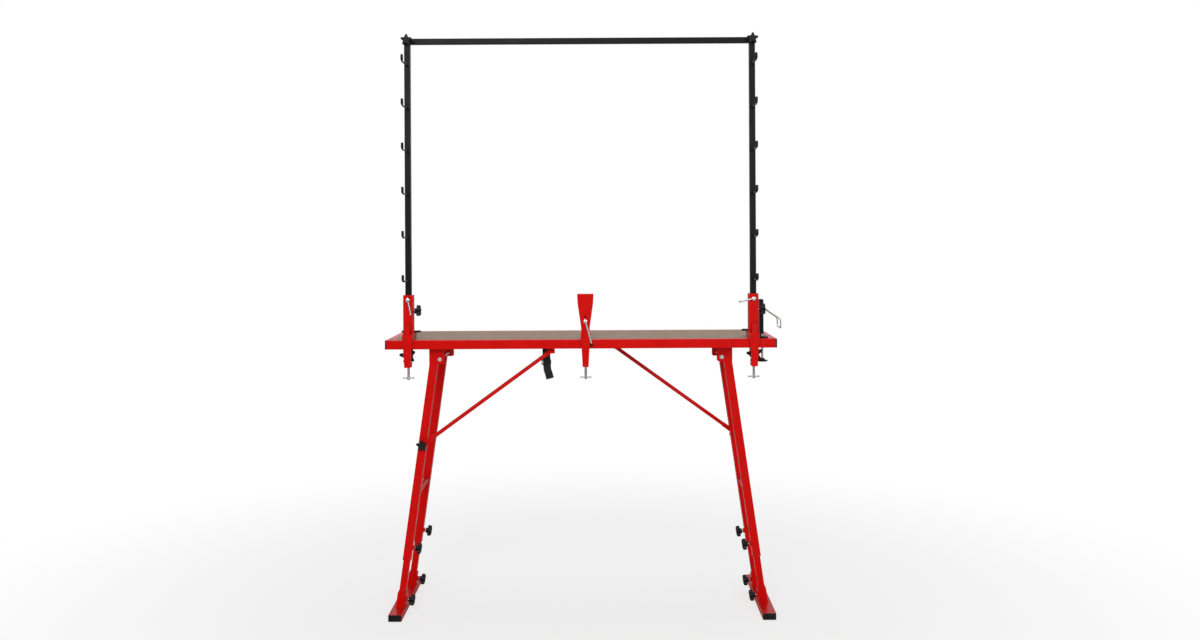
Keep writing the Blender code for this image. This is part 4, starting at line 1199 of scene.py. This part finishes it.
@dataclass
class Clamp(Assembly):
    """What every clamp on the table's front edge has: a lever on a bolt, and a screw from below."""

    lever_head: Pairs = (
        (0.0056, 0.0), (0.0063, 0.0006), (0.0065, 0.0014), (0.0065, 0.0082), (0.0060, 0.0094),
        (0.0046, 0.0100), (0.0030, 0.0100))
    head_depth: float = 0.0100
    bolt_radius: float = 0.0040
    rod_radius: float = 0.0028
    rod_butt: Span = (0.0085, 0.0078)
    ball_turns: tuple[float, ...] = (0.3, 0.7, 1.1, 1.57, 2.0, 2.4, 2.8)
    screw_y: float = -0.160
    spindle_foot: Pairs = ((0.0030, 0.0), (0.0040, 0.0010), (0.0040, 0.0120), (0.0036, 0.0126))
    swivel_pad: Pairs = (
        (0.0050, -0.0062), (0.0062, -0.0050), (0.0078, -0.0036), (0.0080, -0.0008), (0.0076, 0.0))
    thread: Thread = Thread(0.0035, 0.0040, 0.0005, 0.00125, 24)
    thread_from: float = 0.0132
    thread_margin: float = 0.020
    bar_half: float = 0.0175
    bar_height: float = 0.006
    bar_radii: Span = (0.0020, 0.0027)

    def lever(self, lever: Lever) -> None:
        """A clamp lever: a round head on its bolt, and a cross rod that ends in a ball.

        Args:
            lever: Its place, its rod and its finish.
        """
        low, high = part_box(lever.node)
        back = low.y + self.head_depth
        head = set_down(turned(self.lever_head), (lever.x, back, lever.z), (0, -1, 0))
        radius = self.bolt_radius
        bolt = turned(((radius, back - 0.0010), (radius, high.y - 0.0004), (radius - 0.0004, high.y)), 24)
        placed(bolt, towards_back(lever.x, lever.z))
        way = Vector((math.cos(math.radians(lever.angle)), 0, math.sin(math.radians(lever.angle))))
        start = Vector((lever.x, back - self.head_depth / 2, lever.z))
        end = start + way * (lever.length - lever.ball)
        rod = wire([*(start - way * butt for butt in self.rod_butt), end], self.rod_radius, 14)
        ball = turned([(lever.ball * math.sin(at), -lever.ball * math.cos(at)) for at in self.ball_turns], 20)
        self.bench.finish(lever.name, merged(head, bolt, rod), Slot.ZINC, lever.node, (lever.node,), sharp=35)
        self.bench.finish(f"{lever.name}_tip", set_down(ball, end, way), lever.tip, lever.node, sharp=35)

    def screw(self, node: str, x: float) -> None:
        """A clamp screw: the threaded spindle, its swivel pad and its sliding bar with upset ends.

        Args:
            node: The CAD node it replaces, which is also its body.
            x: Where it is along the table.
        """
        low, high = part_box(node)
        length = high.z - low.z
        spindle = turned([*self.spindle_foot, (self.spindle_foot[-1][0], length - 0.0040)], 24)
        pad = moved(turned(self.swivel_pad), z=length)
        turns = int((length - self.thread_margin) / self.thread.pitch)
        thread = self.threaded(self.thread, turns, self.thread_from)
        half, neck = self.bar_half, self.bar_half - 0.002
        slim, thick = self.bar_radii
        bar = wire([Vector((at, 0, self.bar_height)) for at in (-half, -neck, neck, half)],
                   lambda share: thick if share in (0.0, 1.0) else slim, 12)
        shape = moved(merged(spindle, pad, thread, bar), x, self.screw_y, low.z)
        self.bench.finish(f"{node}_spindle", shape, Slot.ZINC, node, (node,), sharp=40)


@dataclass
class EndSupport(Clamp):
    """One end support, clamped to the table, that holds an upright of the rack."""

    side: Side = field(kw_only=True)
    x: float = 0.530
    post_y: float = -0.150
    post: float = 0.030
    arm_top: float = 0.868
    lever_z: float = 0.972
    rod_length: float = 0.048
    ball_radius: float = 0.0036
    bead_size: float = 0.0015
    pad_y: float = -0.1020
    pad_depth: float = 0.016
    pad_heights: Span = (0.0002, 0.0058)
    pad_corner: float = 0.005
    pad_rim: float = 0.0014
    pad_screw: Pairs = ((0.0030, 0.0050), (0.0030, 0.0060), (0.0022, 0.0064))
    pad_screw_inset: float = 0.009
    under_x: float = 0.536
    under_z: float = 0.7990
    under_front: float = -0.1440
    under_stud: Pairs = (
        (0.0030, 0.0), (0.0030, 0.0260), (0.0042, 0.0268), (0.0042, 0.0300), (0.0036, 0.0304))
    under_stud_y: float = -0.1134
    tab: Slab = Slab(0.028, 0.036, 0.0, 0.0030, 0.003, 0.0004)
    tab_y: float = -0.1200
    tab_z: float = 0.8055
    tab_flange: Slab = Slab(0.028, 0.026, 0.8208, 0.8237, 0.003, 0.0004)
    tab_flange_y: float = -0.1080

    def post_weld(self) -> None:
        """The weld bead round the foot of the post."""
        outline = rounded_rectangle(self.post + 0.0006, self.post + 0.0006, 0.001, 1)
        x, z = self.side.sign * self.x, self.arm_top + 0.0003
        weld = bead([Vector((x + u, self.post_y + v, z)) for u, v in outline], self.bead_size)
        self.bench.finish(f"{self.side.name}_post_weld", weld, Slot.RED, "table", sharp=70)

    def rest_pad(self) -> None:
        """The black cross pad on the clamp's arm, behind the post, with its two screws."""
        low, high = self.side.pad_span
        pad = plate(high - low, self.pad_depth, *self.pad_heights, self.pad_corner, self.pad_rim)
        reach = (high - low) / 2 - self.pad_screw_inset
        heads = [moved(turned(self.pad_screw, 16), at) for at in (-reach, reach)]
        middle = self.side.sign * self.x + (low + high) / 2
        shape = moved(merged(pad, *heads), middle, self.pad_y, self.arm_top)
        self.bench.finish(f"{self.side.name}_rest_pad", shape, Slot.PLASTIC, "table")

    def under_knob(self) -> None:
        """The star knob behind the clamp under the board, and the bent steel tab that it screws into."""
        knob = StarKnob(self.bench, tip_radius=0.026, valley_radius=0.0135, hub_radius=0.0095)
        name, x, z = f"{self.side.name}_under_knob", self.side.sign * self.under_x, self.under_z
        back = self.under_front + knob.head_height + knob.hub_height
        grip = set_down(knob.grip(), (x, back, z), (0, -1, 0), 0.5)
        self.bench.finish(f"{name}_grip", grip, Slot.PLASTIC, "table", sharp=50)
        stud = set_down(turned(self.under_stud, 20), (x, self.under_stud_y, z), (0, -1, 0))
        self.bench.finish(f"{name}_stud", stud, Slot.ZINC, "table", sharp=50)
        tab = set_down(plate(*self.tab), (x, self.tab_y, self.tab_z), (0, 1, 0))
        flange = moved(plate(*self.tab_flange), x, self.tab_flange_y)
        self.bench.finish(f"{name}_tab", merged(tab, flange), Slot.RED, "table")

    def build(self) -> None:
        """Make the whole support."""
        name, x = self.side.name, self.side.sign * self.x
        self.keep(f"{name}_support")
        self.rest_pad()
        self.under_knob()
        self.post_weld()
        self.lever(Lever(
            name=f"{name}_post_lever", node=f"{name}_support_lever", x=x, z=self.lever_z,
            angle=self.side.lever_angle, length=self.rod_length, ball=self.ball_radius))
        self.screw(f"{name}_clamp_screw", x)


@dataclass
class Vise(Clamp):
    """The centre vise: its two jaws, the lever bolt between them and the clamp below."""

    x: float = 0.014
    bolt_z: float = 0.906
    nut_across: float = 0.013
    nut_span: Span = (-0.1612, -0.1548)
    spring_washer: Pairs = ((0.0062, -0.1548), (0.0066, -0.1545), (0.0062, -0.1542))
    jaw_z: float = 0.9715
    jaw_faces: Span = (-0.1812, -0.1678)
    pad: Slab = Slab(0.044, 0.030, 0.0, 0.0016, 0.003, 0.0004)
    rib: Slab = Slab(0.042, 0.0016, 0.0, 0.0009, 0.0006, 0.0003)
    ribs: int = 9
    rib_pitch: float = 0.0030
    rib_foot: float = 0.0014
    rod_length: float = 0.078
    rod_angle: float = -75.0
    ball_radius: float = 0.0048

    def nut(self) -> None:
        """The welded nut behind the fixed jaw and the spring washer on the bolt."""
        shape = merged(hexagon(self.nut_across, *self.nut_span, 0.0006), turned(self.spring_washer, 24))
        placed(shape, towards_back(self.x, self.bolt_z))
        self.bench.finish("vise_welded_nut", shape, Slot.ZINC, "table", sharp=30)

    def pads(self) -> None:
        """The ribbed rubber pads that line both jaws."""
        front, rear = self.jaw_faces
        lowest = (0, -self.rib_pitch * (self.ribs - 1) / 2, self.rib_foot)
        for name, body, face, way in (("front", "vise_front_jaw", front, 1), ("rear", "table", rear, -1)):
            ribs = self.copies(plate(*self.rib), Slot.PLASTIC, self.ribs, lowest, (0, self.rib_pitch, 0))
            shape = set_down(merged(plate(*self.pad), ribs), (self.x, face, self.jaw_z), (0, way, 0))
            self.bench.finish(f"vise_{name}_pad", shape, Slot.PLASTIC, body)

    def build(self) -> None:
        """Make the whole vise."""
        self.keep("vise_body", "vise_front_jaw")
        self.pads()
        self.nut()
        self.lever(Lever(
            name="vise_clamp_lever", node="vise_lever", x=self.x, z=self.bolt_z, angle=self.rod_angle,
            length=self.rod_length, ball=self.ball_radius, tip=Slot.PLASTIC))
        self.screw("vise_clamp_screw", self.x)


@dataclass
class Rack(Assembly):
    """The black rack: its uprights, the crossbar and the arms with their rubber sleeves."""

    x: float = 0.530
    y: float = -0.150
    tube: float = 0.018
    wall: float = 0.0015
    corner: float = 0.002
    top: float = 1.778
    crossbar_y: float = -0.1315
    arm_levels: int = 6
    arm_pitch: float = 0.132
    arm_top: float = 1.692
    arm_reach: float = 0.100
    sleeve_path: Pairs = ((0.0035, 0.0025), (0.0002, 0.0085), (0.0, 0.0125), (0.0, 0.0205))
    sleeve_radii: Span = (0.0041, 0.0036)
    weld_radius: float = 0.0036
    bead_size: float = 0.0011

    def sleeves(self, side: Side) -> None:
        """The rubber sleeves on one upright's arms, and the round weld at the root of each arm.

        Args:
            side: Which upright.
        """
        face = -self.tube / 2
        path = rounded_path([(0, face - self.arm_reach + y, z) for y, z in self.sleeve_path], 0.002, 4)
        full, end = self.sleeve_radii

        def radius(share: float) -> float:
            """The sleeve's radius along it, drawn in at both ends."""
            return full if min(share, 1 - share) * (len(path) - 1) >= 1 else end

        lowest = (side.sign * self.x, self.y, self.arm_top - self.arm_pitch * (self.arm_levels - 1))
        step = (0, 0, self.arm_pitch)
        sleeve = self.copies(wire(path, radius, 12), Slot.PLASTIC, self.arm_levels, lowest, step)
        self.bench.finish(f"{side.name}_arm_sleeves", sleeve, Slot.PLASTIC, "rack", sharp=60)
        root = [Vector((spot.x, face - 0.0003, spot.y)) for spot in circle(self.weld_radius, 0.0, 12)]
        weld = self.copies(bead(root, self.bead_size), Slot.BLACK, self.arm_levels, lowest, step)
        self.bench.finish(f"{side.name}_arm_welds", weld, Slot.BLACK, "rack", sharp=70)

    def plugs(self, side: Side) -> None:
        """The black plugs in the top of an upright and in the crossbar's end beside it.

        Args:
            side: Which upright.
        """
        half, way = self.tube / 2, side.sign
        top = plate(self.tube, self.tube, 0.0002, 0.0024, self.corner, 0.0008)
        moved(top, way * self.x, self.y, self.top)
        end = plate(self.tube, self.tube, 0.0002, 0.0022, self.corner, 0.0008)
        set_down(end, (way * (self.x + half), self.crossbar_y, self.top - half), (way, 0, 0))
        self.bench.finish(f"{side.name}_rack_plugs", merged(top, end), Slot.PLASTIC, "rack")

    def build(self) -> None:
        """Make the whole rack."""
        self.keep("left_upright", "right_upright")
        half = self.x + self.tube / 2
        bar = square_tube(self.tube, self.tube, self.wall, -half, half, self.corner)
        set_down(bar, (0, self.crossbar_y, self.top - self.tube / 2), (1, 0, 0))
        self.bench.finish("rack_top_bar", bar, Slot.BLACK, "rack", ("rack_crossbar",))
        for side in SIDES:
            self.sleeves(side)
        for side in SIDES:
            self.plugs(side)


@dataclass
class CradleHolder(Assembly):
    """The holder at the right end: its bracket, the bent wire cradle and the knurled knob under the board."""

    x: float = 0.562
    y: float = -0.115
    wire_radius: float = 0.002
    bend: float = 0.007
    near_x: float = 0.5703
    far_x: float = 0.6183
    wire_ends: Span = (-0.092, -0.086)
    front: float = -0.125
    back: float = -0.055
    top: float = 0.938
    lip: float = 0.905
    floor: float = 0.878
    clip: Slab = Slab(0.012, 0.010, 0.0, 0.0030, 0.002, 0.0006)
    clip_x: float = 0.5675
    clip_y: float = -0.090
    clip_from: float = -0.0145
    clip_pitch: float = 0.0235
    head_across: float = 0.0096
    head_span: Span = (0.8544, 0.8582)
    bolt_radius: float = 0.003
    bolt_foot: float = 0.779
    thread_from: float = 0.7845
    thread: Thread = Thread(0.0028, 0.0031, 0.0004, 0.00115, 18)
    ridges: int = 34
    points: int = 96
    knurl_depth: float = 0.0006
    disc: Pairs = (
        (0.0148, 0.0), (0.0160, 0.0006), (0.0165, 0.0014), (0.0165, 0.0030), (0.0158, 0.0040),
        (0.0100, 0.0046), (0.0080, 0.0054), (0.0076, 0.0094), (0.0070, 0.0099), (0.0034, 0.0100))
    knurled_from: float = 0.0157

    def cradle(self) -> None:
        """The wire cradle with smooth bends, and the two clips that hold it to the post."""
        near, far = (self.near_x, self.top), (self.far_x, self.lip)
        low = (self.far_x, self.floor)
        rows = ((near, self.wire_ends[0]), (near, self.front), (far, self.front), (low, self.front),
                (low, self.back), (far, self.back), (near, self.back), (near, self.wire_ends[1]))
        loop = wire(rounded_path([(x, y, z) for (x, z), y in rows], self.bend), self.wire_radius, 14)
        self.bench.finish("cradle_wire", loop, Slot.ZINC, "table", ("holder_cradle",), sharp=50)
        clip = plate(*self.clip)
        clips = self.copies(clip, Slot.BLACK, 2, (0, self.clip_from, 0), (0, self.clip_pitch, 0))
        set_down(clips, (self.clip_x, self.clip_y, self.top), (1, 0, 0), math.pi / 2)
        self.bench.finish("cradle_clips", clips, Slot.BLACK, "table")

    def bolt(self) -> None:
        """The threaded bolt through the board, with its hexagonal head."""
        head = hexagon(self.head_across, *self.head_span, 0.0005)
        ends = (self.bolt_foot, self.head_span[0] + 0.0002)
        stud = turned([(self.bolt_radius, end) for end in ends], 18)
        thread = self.threaded(self.thread, self.ridges, self.thread_from)
        shape = moved(merged(head, stud, thread), self.x, self.y)
        self.bench.finish("holder_bolt", shape, Slot.ZINC, "holder_knob", sharp=30)

    def notched(self, radius: float, height: float) -> list[Vector]:
        """One ring of the disc, notched where it belongs to the knurled rim."""
        notch = self.knurl_depth if radius > self.knurled_from else 0.0
        return circle(lambda index: radius - notch * (index % 4 in (0, 1)), height, self.points)

    def knob(self) -> None:
        """The knurled disc on the bolt, under the board."""
        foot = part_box("holder_knob")[0].z
        disc = rings_shape([self.notched(radius, height) for radius, height in self.disc])
        moved(disc, self.x, self.y, foot)
        self.bench.finish("holder_disc", disc, Slot.PLASTIC, "holder_knob", ("holder_knob",), sharp=45)

    def build(self) -> None:
        """Make the whole holder."""
        self.keep("holder_bracket")
        self.cradle()
        self.bolt()
        self.knob()


def shares(steps: int) -> list[float]:
    """Equal shares of a way, from the end of the first step to 1."""
    return [step / steps for step in range(1, steps + 1)]


@dataclass
class HangingStrap(Assembly):
    """The webbing strap that keeps the folded legs together, hanging under the board."""

    x: float = -0.110
    y: float = -0.089
    width: float = 0.024
    thickness: float = 0.0016
    cells: int = 8
    tab: float = 0.030
    drop: float = 0.070
    tail: float = 0.034
    slant: float = math.radians(15)
    bend: float = 0.0016
    sway: float = 0.0012
    ripple: float = 0.0008
    stitch: tuple[Point, ...] = ((-0.0011, 0, 0), (-0.0006, -0.0004, 0), (0.0006, -0.0004, 0), (0.0011, 0, 0))
    stitch_radius: float = 0.00035
    stitch_pitch: float = 0.0030
    stitch_count: int = 7
    seam_from: Span = (-0.0090, -0.0034)
    seam_down: Span = (0.020, 0.030)
    lean: float = 0.003
    tab_forward: float = 0.0004
    tab_down: float = 0.0012
    bend_height: float = 0.002
    tab_steps: int = 6
    bend_steps: int = 4
    drop_steps: int = 14
    tail_steps: int = 8
    buckle_rim: Span = (0.0022, 0.0015)
    bar_radius: float = 0.0013
    bar_inset: float = 0.001
    bar_places: Pairs = ((-0.0026, -0.0036), (0.0026, 0.0036))

    def path(self) -> list[tuple[Vector, Vector]]:
        """The strap's centre line from the end of its tab to the end of its tail.

        Returns:
            Each point and the direction across the strap there.
        """
        y, top = self.y - self.tab_forward, BOARD_BOTTOM - self.tab_down
        places = [Vector((self.x, y + self.tab, top))]
        places += [Vector((self.x, y + self.tab * (1 - share), top)) for share in shares(self.tab_steps)]
        for share in shares(self.bend_steps):
            turn = math.pi / 2 * share
            drop = self.bend * (1 - math.cos(turn))
            places.append(Vector((self.x, y - self.bend * math.sin(turn), top - drop)))
        start = places[-1]
        for share in shares(self.drop_steps):
            sway = self.sway * math.sin(math.pi * share)
            down = (self.drop - self.bend_height) * share
            places.append(start + Vector((self.lean * share ** 2, -sway, -down)))
        rows = [(place, Vector((1, 0, 0))) for place in places]
        start = places[-1]
        for share in shares(self.tail_steps):
            angle = self.slant * min(1.0, 2.5 * share)
            way = Vector((math.sin(angle), 0, -math.cos(angle)))
            across = Vector((math.cos(angle), 0, math.sin(angle)))
            ripple = Vector((0, self.ripple * math.sin(2.6 * math.pi * share), 0))
            rows.append((start + way * self.tail * share + ripple, across))
        return rows

    def web(self) -> bpy.types.Object:
        """The woven band, with a UV map in metres along and across it.

        Returns:
            The piece.
        """
        rows = self.path()
        rings, places = [], []
        run = 0.0
        for index, (point, across) in enumerate(rows):
            before, after = rows[max(index - 1, 0)][0], rows[min(index + 1, len(rows) - 1)][0]
            run += (point - before).length
            normal = across.cross((after - before).normalized())
            ring = []
            for face in (1, -1):
                for cell in range(self.cells + 1):
                    at = (cell / self.cells - 0.5) * face * self.width
                    edge = 0.5 if cell in (0, self.cells) else 1.0
                    ring.append(point + across * at + normal * face * edge * self.thickness / 2)
                    places.append((at, run))
            rings.append(ring)
        shape = rings_shape(rings)
        uv = shape.loops.layers.uv.new("UVMap")
        shape.verts.index_update()
        for face in shape.faces:
            for loop in face.loops:
                loop[uv].uv = places[loop.vert.index]
        return self.bench.finish("strap_web", shape, Slot.WEBBING, "table", ("strap",), sharp=60)

    def stitches(self) -> bpy.types.Object:
        """The stitched seam across the strap above the buckle.

        Returns:
            The piece.
        """
        seams = []
        step = (self.stitch_pitch, 0, 0)
        for down in self.seam_down:
            stitch = wire([Vector(point) for point in self.stitch], self.stitch_radius, 6)
            start = (self.x + self.seam_from[0], self.y + self.seam_from[1], BOARD_BOTTOM - down)
            seams.append(self.copies(stitch, Slot.PLASTIC, self.stitch_count, start, step))
        return self.bench.finish("strap_stitches", merged(*seams), Slot.PLASTIC, "table", sharp=70)

    def buckle(self) -> None:
        """The moulded ladder buckle: a frame with two cross bars."""
        low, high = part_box("strap_buckle")
        width, depth, height = high - low
        rim, corner = self.buckle_rim
        outer = rounded_rectangle(width, height, 0.003)
        inner = rounded_rectangle(width - 2 * rim, height - 2 * rim, corner)
        rings = []
        for outline, scale, at in (
            (outer, 0.97, -0.5), (outer, 1.0, -0.35), (outer, 1.0, 0.35), (outer, 0.97, 0.5),
            (inner, 1.0, 0.5), (inner, 1.0, -0.5),
        ):
            rings.append([Vector((u * scale, at * depth, v * scale)) for u, v in outline])
        reach = width / 2 - self.bar_inset
        bars = [wire([Vector((-reach, y, z)), Vector((reach, y, z))], self.bar_radius, 12)
                for y, z in self.bar_places]
        shape = moved(merged(rings_shape(rings, closed=True), *bars), *((low + high) / 2))
        self.bench.finish("strap_ladder_buckle", shape, Slot.PLASTIC, "table", ("strap_buckle",))

    def build(self) -> None:
        """Make the strap, its seam and its buckle."""
        web = self.web()
        seam = self.stitches()
        self.buckle()


@dataclass(frozen=True)
class Lamp:
    """A round soft lamp that looks at the table; metres and watts."""

    name: str
    place: Point
    size: float
    power: float


@dataclass
class Studio:
    """The pale floor, the soft lamps, the white surroundings and the camera."""

    floor_tone: float = 0.86
    floor_size: float = 30.0
    floor_drop: float = 0.0004
    fade: Span = (0.75, 2.4)
    lift: float = 0.70
    soft: float = 0.28
    lamps: tuple[Lamp, ...] = (
        Lamp("key", (-1.0, -4.8, 2.7), 2.2, 104.0),
        Lamp("fill", (1.5, -4.8, 1.8), 2.2, 50.0),
        Lamp("top", (0.2, 0.8, 4.2), 3.0, 48.0))
    aim: Point = (0.0, 0.0, 0.8)
    camera_place: Point = (0.06, -3.875, 1.182)
    lens: float = 36.3
    shift: float = -0.0744
    roll: float = math.radians(-0.3)

    def floor(self) -> None:
        """A wide pale floor that keeps the table's shadow and fades to white away from it."""
        shape = bmesh.new()
        bmesh.ops.create_grid(shape, x_segments=1, y_segments=1, size=self.floor_size)
        mesh = bpy.data.meshes.new("floor")
        moved(shape, z=-self.floor_drop).to_mesh(mesh)
        shape.free()
        material = bpy.data.materials.new("pale_floor")
        material.use_nodes = True
        wiring = Wiring(material.node_tree)
        shader = wiring.tree.nodes["Principled BSDF"]
        tone = (self.floor_tone, self.floor_tone, self.floor_tone, 1.0)
        wiring.feeds(shader, {"Base Color": tone, "Roughness": 0.9, "Specular IOR Level": 0.1})
        white = wiring.add("ShaderNodeEmission", WHITE).outputs["Emission"]
        reach = wiring.add("ShaderNodeVectorMath", wiring.place(), operation="LENGTH").outputs["Value"]
        fade = wiring.ranged(reach, self.fade, (self.lift, 1.0), interpolation_type="SMOOTHSTEP")
        share = wiring.maths("MULTIPLY", fade, wiring.add("ShaderNodeLightPath").outputs["Is Camera Ray"])
        blend = wiring.add("ShaderNodeMixShader", share, shader.outputs["BSDF"], white).outputs["Shader"]
        wiring.feeds(wiring.tree.nodes["Material Output"], {"Surface": blend})
        mesh.materials.append(material)
        piece = bpy.data.objects.new("floor", mesh)
        bpy.context.scene.collection.objects.link(piece)

    def surroundings(self) -> None:
        """White to the camera and in reflections, a gentle even light elsewhere."""
        world = bpy.data.worlds.new("surroundings")
        world.use_nodes = True
        wiring = Wiring(world.node_tree)
        wiring.tree.nodes.clear()
        rays = wiring.add("ShaderNodeLightPath").outputs
        seen = wiring.maths("MAXIMUM", rays["Is Camera Ray"], rays["Is Glossy Ray"])
        seen = wiring.maths("MAXIMUM", seen, rays["Is Transmission Ray"])
        soft = wiring.add("ShaderNodeBackground", WHITE, self.soft).outputs[0]
        white = wiring.add("ShaderNodeBackground", WHITE, 1.0).outputs[0]
        blend = wiring.add("ShaderNodeMixShader", seen, soft, white).outputs[0]
        wiring.add("ShaderNodeOutputWorld", blend)
        bpy.context.scene.world = world

    def light(self) -> None:
        """Hang every lamp and turn it to the table."""
        for lamp in self.lamps:
            light = bpy.data.lights.new(lamp.name, "AREA")
            light.shape = "DISK"
            light.size = lamp.size
            light.energy = lamp.power
            hung = bpy.data.objects.new(lamp.name, light)
            hung.location = lamp.place
            hung.rotation_euler = (Vector(self.aim) - Vector(lamp.place)).to_track_quat("-Z", "Y").to_euler()
            bpy.context.scene.collection.objects.link(hung)

    def camera(self) -> None:
        """The camera that looks along +Y, level with the vise."""
        data = bpy.data.cameras.new("view")
        data.lens = self.lens
        data.sensor_width = 36.0
        data.shift_y = self.shift
        camera = bpy.data.objects.new("view", data)
        camera.location = self.camera_place
        turn = Matrix.Rotation(math.pi / 2, 3, "X") @ Matrix.Rotation(self.roll, 3, "Z")
        camera.rotation_euler = turn.to_euler()
        bpy.context.scene.collection.objects.link(camera)
        bpy.context.scene.camera = camera

    def build(self) -> None:
        """Set everything round the table."""
        self.floor()
        self.surroundings()
        self.light()
        self.camera()
        bpy.context.scene.view_settings.view_transform = "Standard"


def main() -> None:
    """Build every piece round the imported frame."""
    logging.basicConfig(level=logging.INFO, format="%(message)s")
    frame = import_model()
    bench = Bench(frame)
    legs = (LegFrame(bench, side) for side in SIDES)
    supports = (EndSupport(bench, side=side) for side in SIDES)
    rest = (kind(bench) for kind in (Vise, Rack, CradleHolder, HangingStrap))
    for assembly in (TableTop(bench), *legs, *supports, *rest):
        LOG.info("building %s", type(assembly).__name__)
        assembly.build()
    knobs = StarKnob(bench)
    for body in sorted(bench.joint_of):
        if body.endswith("_knob") and body != "holder_knob":
            knobs.build(body)
    Studio().build()


if __name__ == "__main__":
    main()
